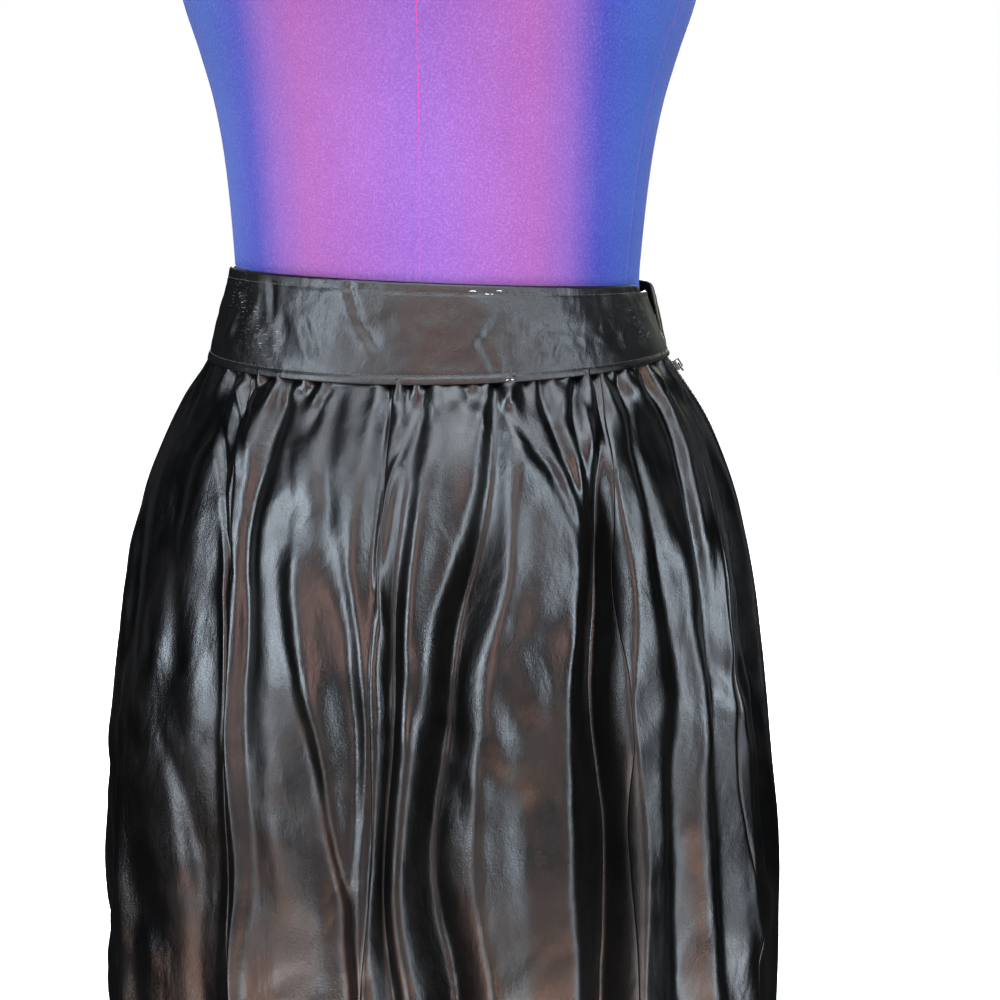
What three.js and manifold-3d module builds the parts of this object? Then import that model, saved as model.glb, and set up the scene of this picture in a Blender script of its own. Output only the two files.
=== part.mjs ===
// A maxi skirt of satin, gathered into a wide waistband and worn by a limbless dress form on a stand.
// Millimetres, +Z up. The origin is the middle of the stand's foot, on the floor.
// The front faces -Y and the wearer's left is +X. A "turn" is degrees round the body from the
// centre front, positive towards the wearer's left. A "drop" is the distance below the waistband.
import * as THREE from 'three';
import { mergeVertices } from 'three/addons/utils/BufferGeometryUtils.js';
import Module from 'manifold-3d';

// Driving sizes.
const HEM_HEIGHT = 40;
const SKIRT_LENGTH = 1000;
const BAND_DEPTH = 52;
const BAND_TOP = HEM_HEIGHT + SKIRT_LENGTH;
const BAND_BOTTOM = BAND_TOP - BAND_DEPTH;
const CLOTH_DROP = SKIRT_LENGTH - BAND_DEPTH;
const SATIN_WALL = 1.5;
const BAND_WALL = 2.5;
const SEAM_GAP = 0.4;
const CLOSURE_TURN = 92;

// The skirt's outline: the ellipse that its ridges reach at each drop.
const OUTLINE = [
  { drop: 0, halfWidth: 138, halfDepth: 108 },
  { drop: 45, halfWidth: 167, halfDepth: 136 },
  { drop: 90, halfWidth: 185, halfDepth: 154 },
  { drop: 150, halfWidth: 199, halfDepth: 171 },
  { drop: 230, halfWidth: 211, halfDepth: 187 },
  { drop: 330, halfWidth: 222, halfDepth: 200 },
  { drop: 450, halfWidth: 227, halfDepth: 208 },
  { drop: CLOTH_DROP, halfWidth: 256, halfDepth: 242 },
];

// What lies round the skirt, in order, as turns at each of these drops. A row with a panel is a
// seam, where that panel starts. The others are the valleys between folds, each with its half
// widths in degrees towards the wearer's right and left, the drop where it starts, and how far it
// goes in at the hip and at the hem.
const LEVELS = [0, 60, 130, 230, 330, CLOTH_DROP];
const ROUND = [
  { panel: 'panel_side_right', turns: [-80, -80, -78, -77, -76, -76] },
  { turns: [-68, -66, -63, -60, -58, -58], right: 4, left: 7, start: 8, hip: 4, hem: 8 },
  { turns: [-47, -38, -34, -31, -29, -28], right: 12, left: 2.5, start: 8, hip: 2.5, hem: 8 },
  { panel: 'panel_front_right', turns: [-44, -35, -31, -28, -26, -25] },
  { turns: [-14, -12, -9.5, -8.5, -9, -10], right: 5, left: 2.2, start: 60, hip: 4, hem: 16 },
  { panel: 'panel_front_left', turns: [-5.5, -5, -5.5, -5, -6.5, -7] },
  { turns: [1.5, -1.5, -2.5, -3, -3.5, -4], right: 2.2, left: 3, start: 8, hip: 7, hem: 12 },
  { turns: [17, 13, 7.5, 5, 5, 6], right: 5, left: 5.5, start: 8, hip: 17, hem: 30 },
  { turns: [41, 34.5, 32.5, 31, 30, 29.5], right: 7, left: 4, start: 8, hip: 24, hem: 36 },
  { panel: 'panel_side_left', turns: [43.5, 37, 35, 34, 33.5, 33] },
  { turns: [50, 44, 43, 42.5, 42.5, 42], right: 3.5, left: 7, start: 30, hip: 7, hem: 12 },
  { turns: [61, 57.5, 56, 54, 54, 55], right: 3.5, left: 6, start: 20, hip: 8, hem: 13 },
  { panel: 'panel_closure_left', turns: [70, 67, 61, 59, 61, 64] },
  { turns: [81, 75, 71, 69, 71, 75], right: 4, left: 9, start: 8, hip: 11, hem: 17 },
  { panel: 'panel_back_left', turns: [92, 92, 92, 92, 92, 92] },
  { turns: [103, 104, 105, 106, 106, 106], right: 7, left: 6, start: 8, hip: 20, hem: 30 },
  { turns: [121, 122, 124, 126, 127, 128], right: 7, left: 9, start: 8, hip: 24, hem: 34 },
  { turns: [141, 142, 143, 143, 142, 141], right: 6, left: 5, start: 25, hip: 17, hem: 27 },
  { panel: 'panel_back_centre', turns: [150, 151, 152, 152, 152, 152] },
  { turns: [160, 161, 162, 164, 166, 168], right: 9, left: 7, start: 8, hip: 26, hem: 36 },
  { turns: [183, 183, 184, 186, 187, 188], right: 6, left: 8, start: 15, hip: 21, hem: 30 },
  { turns: [201, 201, 201, 200, 200, 200], right: 7, left: 5, start: 30, hip: 16, hem: 24 },
  { panel: 'panel_back_right', turns: [212, 211, 209, 208, 208, 208] },
  { turns: [222, 222, 223, 225, 226, 226], right: 7, left: 9, start: 8, hip: 25, hem: 35 },
  { turns: [245, 245, 246, 246, 246, 246], right: 8, left: 6, start: 20, hip: 20, hem: 31 },
  { turns: [268, 268, 267, 267, 266, 265], right: 6, left: 8, start: 8, hip: 22, hem: 32 },
];
const VALLEYS = ROUND.filter((row) => !row.panel);
const VALLEY_FULL = 115;
const VALLEY_OPENS = { from: 0.6, to: 1 };

// The small gathers under the waistband, which run out into the folds. Columns is how many
// columns of the cloth one gather takes.
const GATHERS = { columns: 4, reach: 3.2, fade: 42, uneven: 0.4, swells: 7, flatNearZip: 9 };

// Heights at which the panels' walls bend.
const ROWS = [0, 12, 30, 55, 90, 140, 210, 300, 410, 540, 690, 830, CLOTH_DROP];
const DEGREES_PER_COLUMN = 2.3;
const NORMAL_REACH = { degrees: 0.6, millimetres: 4 };

// The waistband's outer outline, and how its edges sit. Its top edge is higher on the wearer's
// right, its lower edge is higher at the sides, and its back end stands off the body at the
// closure, where the two ends part in a small V. The top edge dips towards the closure, over
// dipFront degrees on the front side.
const BAND = {
  top: { halfWidth: 123.6, halfDepth: 96.4 },
  bottom: { halfWidth: 139.5, halfDepth: 109.5 },
  topTilt: 4.8,
  sideRise: 4,
  leftRise: 1.2,
  notch: 2.4,
  standOffBack: 7,
  standOffFront: 1.5,
  standOffDegrees: 13,
  dip: 4.5,
  dipDegrees: 4,
  dipFront: 15,
  columns: 70,
  crowding: 0.6,
};

// The dress form's torso, by rise above the waistband's top edge.
const TORSO = [
  { rise: -250, halfWidth: 143, front: 100, back: 108 },
  { rise: -200, halfWidth: 150, front: 106, back: 114 },
  { rise: -140, halfWidth: 148, front: 107, back: 113 },
  { rise: -56, halfWidth: 129.5, front: 98.5, back: 98.5 },
  { rise: 0, halfWidth: 120.3, front: 93.2, back: 93.2 },
  { rise: 14, halfWidth: 120.8, front: 93.8, back: 93.8 },
  { rise: 40, halfWidth: 122.2, front: 95.4, back: 95.4 },
  { rise: 68, halfWidth: 124.6, front: 98, back: 98 },
  { rise: 96, halfWidth: 129, front: 102, back: 101 },
  { rise: 123, halfWidth: 136, front: 109, back: 104 },
  { rise: 150, halfWidth: 144, front: 118, back: 107 },
  { rise: 190, halfWidth: 151, front: 127, back: 109 },
  { rise: 240, halfWidth: 156, front: 118, back: 109 },
  { rise: 300, halfWidth: 168, front: 90, back: 98 },
  { rise: 340, halfWidth: 168, front: 68, back: 80 },
  { rise: 364, halfWidth: 132, front: 58, back: 68 },
  { rise: 384, halfWidth: 86, front: 53, back: 60 },
  { rise: 402, halfWidth: 61, front: 51, back: 55 },
  { rise: 450, halfWidth: 56, front: 50, back: 52 },
];
const TORSO_COLUMNS = 36;
const TORSO_LEAN = 0.022;

const STAND = {
  footRadius: 165, footEdge: 7, footCentre: 14,
  bossRadius: 26, bossHeight: 70, socketFloor: 6,
  poleRadius: 14, fit: 0.4,
  flangeRadius: 45, flangeThick: 8, touch: 0.3,
};
const NECK_CAP = { radius: 44, thick: 9, stemRadius: 8, stemHeight: 10, knobRadius: 16 };

const ZIP = {
  length: 210, tapeWidth: 24, tapeWall: 0.8, tapeBehind: 0.4,
  sliderDrop: 8, sliderWidth: 5, sliderLength: 7, sliderThick: 1.8, sliderOff: 0.6,
  bridgeWidth: 1.4, bridgeSpan: 6, bridgeRise: 2.5, bridgeWall: 0.8,
  ringRadius: 2.7, ringWire: 0.45, ringOff: 0.4,
};
const HOOK = { width: 11, height: 9, wall: 1, behind: 0.4, above: 22, gap: 0.8 };

// ---------------------------------------------------------------------------------- helpers

const radians = THREE.MathUtils.degToRad;
const smoothstep = THREE.MathUtils.smoothstep;
const lerp = THREE.MathUtils.lerp;

// A smooth curve through (places[i], values[i]) that never overshoots them.
function eased(places, values, at) {
  const last = places.length - 1;
  const x = THREE.MathUtils.clamp(at, places[0], places[last]);
  let i = 0;
  while (i < last - 1 && x > places[i + 1]) i += 1;
  const slope = (k) => (values[k + 1] - values[k]) / (places[k + 1] - places[k]);
  const tangent = (k) => {
    if (k === 0) return slope(0);
    if (k === last) return slope(last - 1);
    const before = slope(k - 1);
    const after = slope(k);
    return before * after <= 0 ? 0 : (2 * before * after) / (before + after);
  };
  const step = places[i + 1] - places[i];
  const t = (x - places[i]) / step;
  const rise = t * t * (3 - 2 * t);
  return lerp(values[i], values[i + 1], rise)
    + step * t * (1 - t) * ((1 - t) * tangent(i) - t * tangent(i + 1));
}

const column = (table, key, name, at) =>
  eased(table.map((row) => row[key]), table.map((row) => row[name]), at);

const onEllipse = (halfWidth, halfDepth, turn, z) =>
  new THREE.Vector3(halfWidth * Math.sin(radians(turn)), -halfDepth * Math.cos(radians(turn)), z);

// The outward direction of an ellipse at a turn.
const outward = (halfWidth, halfDepth, turn) =>
  new THREE.Vector3(
    halfDepth * Math.sin(radians(turn)), -halfWidth * Math.cos(radians(turn)), 0,
  ).normalize();

// The signed difference between two turns, from -180 to 180 degrees.
const between = (turn, from) => THREE.MathUtils.euclideanModulo(turn - from + 180, 360) - 180;

// A closed wall between two grids of points with the same rows and columns: outer and inner.
function wall(outer, inner) {
  const rows = outer.length;
  const columns = outer[0].length;
  const points = [...outer.flat(), ...inner.flat()];
  const index = [];
  const quad = (a, b, c, d) => index.push(a, b, c, a, c, d);
  const out = (r, c) => r * columns + c;
  const inn = (r, c) => rows * columns + r * columns + c;
  for (let r = 0; r < rows - 1; r += 1) {
    for (let c = 0; c < columns - 1; c += 1) {
      quad(out(r, c), out(r + 1, c), out(r + 1, c + 1), out(r, c + 1));
      quad(inn(r, c), inn(r, c + 1), inn(r + 1, c + 1), inn(r + 1, c));
    }
    quad(out(r, 0), inn(r, 0), inn(r + 1, 0), out(r + 1, 0));
    quad(out(r, columns - 1), out(r + 1, columns - 1), inn(r + 1, columns - 1), inn(r, columns - 1));
  }
  for (let c = 0; c < columns - 1; c += 1) {
    quad(out(0, c), out(0, c + 1), inn(0, c + 1), inn(0, c));
    quad(out(rows - 1, c), inn(rows - 1, c), inn(rows - 1, c + 1), out(rows - 1, c + 1));
  }
  return geometryFrom(points, index);
}

function geometryFrom(points, index) {
  const geometry = new THREE.BufferGeometry().setFromPoints(points);
  geometry.setIndex(index);
  geometry.computeVertexNormals();
  return geometry;
}

// A closed solid through a stack of rings, with flat ends.
function loft(rings) {
  const count = rings[0].length;
  const points = rings.flat();
  const index = [];
  for (let r = 0; r < rings.length - 1; r += 1) {
    for (let c = 0; c < count; c += 1) {
      const next = (c + 1) % count;
      const [a, b] = [r * count + c, r * count + next];
      index.push(a, b, b + count, a, b + count, a + count);
    }
  }
  const middle = (ring) => ring.reduce((sum, p) => sum.add(p), new THREE.Vector3())
    .divideScalar(ring.length);
  points.push(middle(rings[0]), middle(rings[rings.length - 1]));
  const [low, high] = [points.length - 2, points.length - 1];
  const top = (rings.length - 1) * count;
  for (let c = 0; c < count; c += 1) {
    const next = (c + 1) % count;
    index.push(low, next, c, high, top + c, top + next);
  }
  return geometryFrom(points, index);
}

// ---------------------------------------------------------------------------------- the skirt

function valleysAt(turn, drop) {
  const down = smoothstep(drop, VALLEY_FULL, CLOTH_DROP);
  return VALLEYS.reduce((deepest, valley) => {
    const opened = smoothstep(drop, valley.start, VALLEY_FULL);
    const off = between(turn, eased(LEVELS, valley.turns, drop));
    const halfWidth = off < 0 ? valley.right : valley.left;
    const across = off / (halfWidth * lerp(VALLEY_OPENS.from, VALLEY_OPENS.to, opened));
    const shape = Math.abs(across) < 1 ? (1 - across * across) ** 2 : 0;
    return Math.max(deepest, opened * lerp(valley.hip, valley.hem, down) * shape);
  }, 0);
}

// How far the seam under the waistband rises above its height at the centre front.
function seamRise(turn) {
  const side = Math.sin(radians(turn));
  return BAND.sideRise * side * side + BAND.leftRise * side;
}

// The outer face of the skirt's cloth. Gather is how far a gather stands out at the seam.
function skirtPoint(turn, drop, gather = 0) {
  const halfWidth = column(OUTLINE, 'drop', 'halfWidth', drop);
  const halfDepth = column(OUTLINE, 'drop', 'halfDepth', drop);
  const out = gather * Math.exp(-drop / GATHERS.fade) - valleysAt(turn, drop);
  const rise = seamRise(turn) * (1 - drop / CLOTH_DROP);
  return onEllipse(halfWidth, halfDepth, turn, BAND_BOTTOM - SEAM_GAP - drop + rise)
    .addScaledVector(outward(halfWidth, halfDepth, turn), out);
}

// The cloth's own outward direction, from points a little way round and down from here.
function skirtNormal(turn, drop) {
  const { degrees, millimetres } = NORMAL_REACH;
  const high = Math.max(drop - millimetres / 2, 0);
  const round = skirtPoint(turn + degrees, drop).sub(skirtPoint(turn - degrees, drop));
  const down = skirtPoint(turn, high + millimetres).sub(skirtPoint(turn, high));
  return down.cross(round).normalize();
}

const behindSkirt = (turn, drop, distance, gather = 0) =>
  skirtPoint(turn, drop, gather).addScaledVector(skirtNormal(turn, drop), -distance);

const wholeTurnOn = (row) => ({ ...row, turns: row.turns.map((turn) => turn + 360) });

// The columns of cloth round the skirt: each lies some way between one row of ROUND and the
// next, so a column runs down a seam, a valley or a fold.
function clothColumns() {
  const columns = [];
  ROUND.forEach((row, i) => {
    const next = i === ROUND.length - 1 ? wholeTurnOn(ROUND[0]) : ROUND[i + 1];
    const steps = Math.max(1, Math.round((next.turns[3] - row.turns[3]) / DEGREES_PER_COLUMN));
    for (let step = 0; step < steps; step += 1) {
      const share = step / steps;
      const turns = LEVELS.map((_, level) => lerp(row.turns[level], next.turns[level], share));
      columns.push({ turns, panel: step === 0 ? row.panel : undefined });
    }
  });
  const gathers = Math.round(columns.length / GATHERS.columns);
  return columns.map((cloth, c) => {
    const round = (2 * Math.PI * c) / columns.length;
    const size = 1 + GATHERS.uneven * Math.sin(GATHERS.swells * round);
    const fromZip = Math.abs(between(cloth.turns[0], CLOSURE_TURN));
    const flat = smoothstep(fromZip, GATHERS.flatNearZip, 2 * GATHERS.flatNearZip);
    return { ...cloth, gather: GATHERS.reach * size * flat * Math.sin(gathers * round) };
  });
}

// The panels: each takes the columns from its own seam to the next panel's.
function panels() {
  const columns = clothColumns();
  const round = [...columns, wholeTurnOn(columns[0])];
  const starts = round.flatMap((cloth, c) => (cloth.panel ? [c] : []));
  return starts.slice(0, -1).map((start, i) => panel(round.slice(start, starts[i + 1] + 1)));
}

function panel(columns) {
  const last = columns.length - 1;
  const grid = (distance) => ROWS.map((drop) => columns.map((cloth, c) => {
    const margin = THREE.MathUtils.radToDeg(
      SEAM_GAP / 2 / column(OUTLINE, 'drop', 'halfDepth', drop),
    );
    const inset = c === 0 ? margin : c === last ? -margin : 0;
    return behindSkirt(eased(LEVELS, cloth.turns, drop) + inset, drop, distance, cloth.gather);
  }));
  return named(columns[0].panel, wall(grid(0), grid(SATIN_WALL)), satin);
}

// ---------------------------------------------------------------------------------- the waistband

// A point on the band's outer face, or behind it: up runs from 0 at its lower edge to 1 at its top.
function bandPoint(turn, up, behind = 0) {
  const halfWidth = lerp(BAND.bottom.halfWidth, BAND.top.halfWidth, up);
  const halfDepth = lerp(BAND.bottom.halfDepth, BAND.top.halfDepth, up);
  const past = between(turn, CLOSURE_TURN);
  const most = past >= 0 ? BAND.standOffBack : BAND.standOffFront;
  const off = most * up * Math.exp(-((past / BAND.standOffDegrees) ** 2));
  const low = BAND_BOTTOM + seamRise(turn);
  const fromDip = past < 0 ? Math.min(past + BAND.dipFront, 0) : past;
  const dip = BAND.dip * Math.exp(-((fromDip / BAND.dipDegrees) ** 2));
  const high = BAND_TOP - BAND.topTilt * Math.sin(radians(turn)) - dip;
  return onEllipse(halfWidth, halfDepth, turn, lerp(low, high, up))
    .addScaledVector(outward(halfWidth, halfDepth, turn), off - behind);
}

// The columns crowd towards the band's two ends, where its shape changes most.
function waistband() {
  const rows = [1, 0.5, 0];
  const grid = (behind) => rows.map((up) => {
    const parted = 0.2 + BAND.notch * up * up;
    return Array.from({ length: BAND.columns + 1 }, (_, c) => {
      const round = (2 * Math.PI * c) / BAND.columns;
      const share = (round - BAND.crowding * Math.sin(round)) / (2 * Math.PI);
      return bandPoint(CLOSURE_TURN + lerp(parted, 360 - parted, share), up, behind);
    });
  });
  return named('waistband', wall(grid(0), grid(BAND_WALL)), satin);
}

// A flat metal plate behind one end of the band. Side is 1 for the back end and -1 for the front.
function bandPlate(name, side) {
  const up = HOOK.above / BAND_DEPTH;
  const tall = HOOK.height / BAND_DEPTH;
  const degrees = THREE.MathUtils.radToDeg(1 / BAND.top.halfDepth);
  const grid = (behind) => [up + tall, up].map((height) => {
    const across = [HOOK.gap / 2, HOOK.gap / 2 + HOOK.width].map((mm) => side * mm * degrees);
    return across.sort((a, b) => a - b)
      .map((turn) => bandPoint(CLOSURE_TURN + turn, height, BAND_WALL + HOOK.behind + behind));
  });
  return named(name, wall(grid(0), grid(HOOK.wall)), metal);
}

// ---------------------------------------------------------------------------------- the zip

// The tape lies behind the two panels, on the same rows as they do.
function zipTape() {
  const columns = 6;
  const grid = (distance) => ROWS.filter((drop) => drop <= ZIP.length).map((drop) => {
    const halfDepth = column(OUTLINE, 'drop', 'halfDepth', drop);
    const reach = THREE.MathUtils.radToDeg(ZIP.tapeWidth / 2 / halfDepth);
    return Array.from({ length: columns + 1 }, (_, c) =>
      behindSkirt(CLOSURE_TURN + lerp(-reach, reach, c / columns), drop, distance));
  });
  const near = SATIN_WALL + ZIP.tapeBehind;
  return named('zip_tape', wall(grid(near), grid(near + ZIP.tapeWall)), tape);
}

// The slider's own frame: x along the band, y down the cloth, z out of it, on the cloth's face.
function sliderFrame() {
  const place = skirtPoint(CLOSURE_TURN, ZIP.sliderDrop);
  const out = skirtNormal(CLOSURE_TURN, ZIP.sliderDrop);
  const along = out.clone().cross(new THREE.Vector3(0, 0, 1)).normalize();
  const down = out.clone().cross(along);
  const frame = new THREE.Group();
  frame.matrixAutoUpdate = false;
  frame.matrix.makeBasis(along, down, out).setPosition(place);
  return frame;
}

async function zipHardware() {
  const wasm = await Module();
  wasm.setup();
  const solid = (geometry) => {
    const bare = geometry.clone();
    bare.deleteAttribute('normal');
    bare.deleteAttribute('uv');
    const merged = mergeVertices(bare, 1e-4);
    return new wasm.Manifold(new wasm.Mesh({
      numProp: 3,
      vertProperties: merged.attributes.position.array,
      triVerts: new Uint32Array(merged.index.array),
    }));
  };
  const geometry = (made) => {
    const { vertProperties, triVerts } = made.getMesh();
    const back = new THREE.BufferGeometry();
    back.setAttribute('position', new THREE.BufferAttribute(vertProperties, 3));
    back.setIndex(new THREE.BufferAttribute(triVerts, 1));
    back.computeVertexNormals();
    return back;
  };
  const face = ZIP.sliderOff + ZIP.sliderThick;

  const body = new THREE.BoxGeometry(ZIP.sliderWidth, ZIP.sliderLength, ZIP.sliderThick)
    .translate(0, 0, ZIP.sliderOff + ZIP.sliderThick / 2);
  const arch = new THREE.BoxGeometry(ZIP.bridgeWidth, ZIP.bridgeSpan, ZIP.bridgeRise + 1)
    .translate(0, 0, face + (ZIP.bridgeRise - 1) / 2);
  const under = new THREE.BoxGeometry(
    ZIP.bridgeWidth * 2, ZIP.bridgeSpan - 2 * ZIP.bridgeWall, ZIP.bridgeRise - ZIP.bridgeWall,
  ).translate(0, 0, face + (ZIP.bridgeRise - ZIP.bridgeWall) / 2);
  const slider = solid(arch).subtract(solid(under)).add(solid(body));

  // The pull is a ring of wire. Its top runs under the slider's bridge, where it hinges.
  const pull = new THREE.TorusGeometry(ZIP.ringRadius, ZIP.ringWire, 8, 24)
    .translate(0, ZIP.ringRadius, face + ZIP.ringOff + ZIP.ringWire);
  return [named('zip_slider', geometry(slider), metal), named('zip_pull', pull, metal)];
}

// ---------------------------------------------------------------------------------- dress form

function torso() {
  const rises = TORSO.map((row) => row.rise);
  const halfway = rises.slice(1).map((rise, i) => (rise + rises[i]) / 2);
  const rings = [...rises, ...halfway].sort((a, b) => a - b).map((rise) => {
    const [halfWidth, front, back] = ['halfWidth', 'front', 'back']
      .map((name) => column(TORSO, 'rise', name, rise));
    return Array.from({ length: TORSO_COLUMNS }, (_, c) => {
      const turn = (360 * c) / TORSO_COLUMNS;
      const halfDepth = Math.cos(radians(turn)) > 0 ? front : back;
      const point = onEllipse(halfWidth, halfDepth, turn, BAND_TOP + rise);
      point.x += TORSO_LEAN * Math.max(rise, 0);
      return point;
    });
  });
  return named('form_torso', loft(rings), jersey);
}

function neckCap() {
  const base = BAND_TOP + TORSO[TORSO.length - 1].rise + STAND.touch;
  const { radius, thick, stemRadius, stemHeight, knobRadius } = NECK_CAP;
  const knob = Array.from({ length: 7 }, (_, i) => {
    const angle = lerp(-60, 90, i / 6);
    return [
      knobRadius * Math.cos(radians(angle)),
      thick + stemHeight + knobRadius * (Math.sin(radians(angle)) + Math.sin(radians(60))),
    ];
  });
  knob[knob.length - 1][0] = 0;
  const profile = [[0, 0], [radius, 0], [radius, thick], [stemRadius, thick], ...knob];
  const lean = TORSO_LEAN * TORSO[TORSO.length - 1].rise;
  return turned('form_neck_cap', profile, 32, wood).translateX(lean).translateZ(base);
}

function standPole() {
  const top = BAND_TOP + TORSO[0].rise - STAND.touch;
  const { poleRadius, flangeRadius, flangeThick, socketFloor, touch } = STAND;
  return turned('stand_pole', [
    [0, socketFloor + touch], [poleRadius, socketFloor + touch], [poleRadius, top - flangeThick],
    [flangeRadius, top - flangeThick], [flangeRadius, top], [0, top],
  ], 32, enamel);
}

function standFoot() {
  const { footRadius, footEdge, footCentre, bossRadius, bossHeight } = STAND;
  const socket = STAND.poleRadius + STAND.fit;
  return turned('stand_foot', [
    [0, 0], [footRadius - 2, 0], [footRadius, 2], [footRadius, footEdge],
    [bossRadius + 6, footCentre], [bossRadius, footCentre + 6], [bossRadius, bossHeight],
    [socket, bossHeight], [socket, STAND.socketFloor], [0, STAND.socketFloor],
  ], 48, enamel);
}

// ---------------------------------------------------------------------------------- assembly

function named(name, geometry, material) {
  const mesh = new THREE.Mesh(geometry, material);
  mesh.name = name;
  return mesh;
}

// A solid of revolution about Z from [radius, height] pairs that start and end on the axis.
function turned(name, profile, segments, material) {
  const points = profile.map(([radius, height]) => new THREE.Vector2(radius, height));
  const geometry = new THREE.LatheGeometry(points, segments).rotateX(Math.PI / 2);
  return named(name, geometry, material);
}

const satin = new THREE.MeshStandardMaterial({ color: 0x17181a, roughness: 0.34, metalness: 0 });
const tape = new THREE.MeshStandardMaterial({ color: 0x121214, roughness: 0.85, metalness: 0 });
const metal = new THREE.MeshStandardMaterial({ color: 0x3a3a3c, roughness: 0.35, metalness: 1 });
const jersey = new THREE.MeshStandardMaterial({ color: 0x7a5ad8, roughness: 0.9, metalness: 0 });
const wood = new THREE.MeshStandardMaterial({ color: 0x8a5a34, roughness: 0.5, metalness: 0 });
const enamel = new THREE.MeshStandardMaterial({ color: 0x1c1c1e, roughness: 0.45, metalness: 0.6 });

const part = new THREE.Group();
part.add(...panels(), waistband(), zipTape());
part.add(bandPlate('waist_hook', -1), bandPlate('waist_bar', 1));
part.add(sliderFrame().add(...(await zipHardware())));
part.add(torso(), neckCap(), standPole(), standFoot());

export default part;
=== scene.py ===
"""A long satin skirt, gathered into a wide waistband, on a limbless dress form and its stand.

Lengths in the tables are millimetres. A turn is degrees round the body from the centre front,
positive towards the wearer's left. A drop is the distance below the waistband. The front faces -Y.
"""
import math

import bmesh
import bpy
import numpy as np
from bpy.props import FloatProperty, FloatVectorProperty, IntProperty, PointerProperty
from bpy.types import NodeSocket, Operator, Panel, PropertyGroup
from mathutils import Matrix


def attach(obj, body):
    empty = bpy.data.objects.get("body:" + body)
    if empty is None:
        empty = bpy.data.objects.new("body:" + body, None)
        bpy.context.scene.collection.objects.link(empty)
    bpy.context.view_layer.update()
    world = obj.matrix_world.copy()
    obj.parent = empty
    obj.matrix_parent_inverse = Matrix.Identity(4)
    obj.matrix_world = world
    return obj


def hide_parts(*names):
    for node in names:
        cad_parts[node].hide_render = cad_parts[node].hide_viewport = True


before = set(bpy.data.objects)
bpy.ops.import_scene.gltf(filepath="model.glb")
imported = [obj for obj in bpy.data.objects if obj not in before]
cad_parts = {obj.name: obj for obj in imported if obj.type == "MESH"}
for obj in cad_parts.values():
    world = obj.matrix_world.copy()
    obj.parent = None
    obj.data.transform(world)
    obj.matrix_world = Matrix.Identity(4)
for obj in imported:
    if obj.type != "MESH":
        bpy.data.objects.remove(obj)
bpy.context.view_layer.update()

bl_info = {
    "name": "Satin maxi skirt on a dress form",
    "version": (1, 0, 0),
    "blender": (4, 5, 0),
    "location": "3D View > Sidebar > Skirt",
    "description": "Builds a gathered satin skirt, its waistband and zip, the dress form and its stand",
    "category": "Add Mesh",
}

MM = 0.001
BODY = "dressed_form"
RING_BODY = "zip_ring"


def table(columns, *rows):
    """Rows of values as dictionaries, by the names of their columns."""
    return [dict(zip(columns.split(), row, strict=True)) for row in rows]


# ---- the garment's own sizes

HEM_HEIGHT = 40.0
BAND_TOP = 1040.0
BAND_DEPTH = 52.0
BAND_BOTTOM = BAND_TOP - BAND_DEPTH
SEAM_GAP = 0.4
CLOTH_DROP = BAND_BOTTOM - HEM_HEIGHT
CLOSURE_TURN = 92.0
CLOTH_WALL = 0.6
TURNED_UP = 22.0
HEM_TOP = CLOTH_DROP - TURNED_UP

# The ellipse that the skirt's ridges reach at each drop.
OUTLINE = {
    "drop": (0, 45, 90, 150, 230, 330, 450, CLOTH_DROP),
    "half_width": (138, 167, 185, 199, 211, 222, 227, 256),
    "half_depth": (108, 136, 154, 171, 187, 200, 208, 242),
}

# Each panel: the turns at LEVELS of the seam where it starts, its columns of points, and its cut's
# width at the hem and flat area in metres. All are cut to one length, in metres too.
LEVELS = (0, 60, 130, 230, 330, CLOTH_DROP)
PANELS = table(
    "name turns columns hem area",
    ("side_right", (-80, -80, -78, -77, -76, -76), 84, 0.25, 0.18),
    ("front_right", (-44, -35, -31, -28, -26, -25), 72, 0.13, 0.085),
    ("front_left", (-5.5, -5, -5.5, -5, -6.5, -7), 106, 0.22, 0.195),
    ("side_left", (43.5, 37, 35, 34, 33.5, 33), 66, 0.17, 0.115),
    ("closure_left", (70, 67, 61, 59, 61, 64), 64, 0.16, 0.105),
    ("back_left", (92, 92, 92, 92, 92, 92), 92, 0.34, 0.25),
    ("back_centre", (150, 151, 152, 152, 152, 152), 86, 0.33, 0.25),
    ("back_right", (212, 211, 209, 208, 208, 208), 104, 0.42, 0.305),
)
# Where the panels' rows of points start to be spaced differently, and how many rows follow.
ROWS = ((-4, 42), (56, 104), (360, 74), (HEM_TOP, 12))

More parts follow.
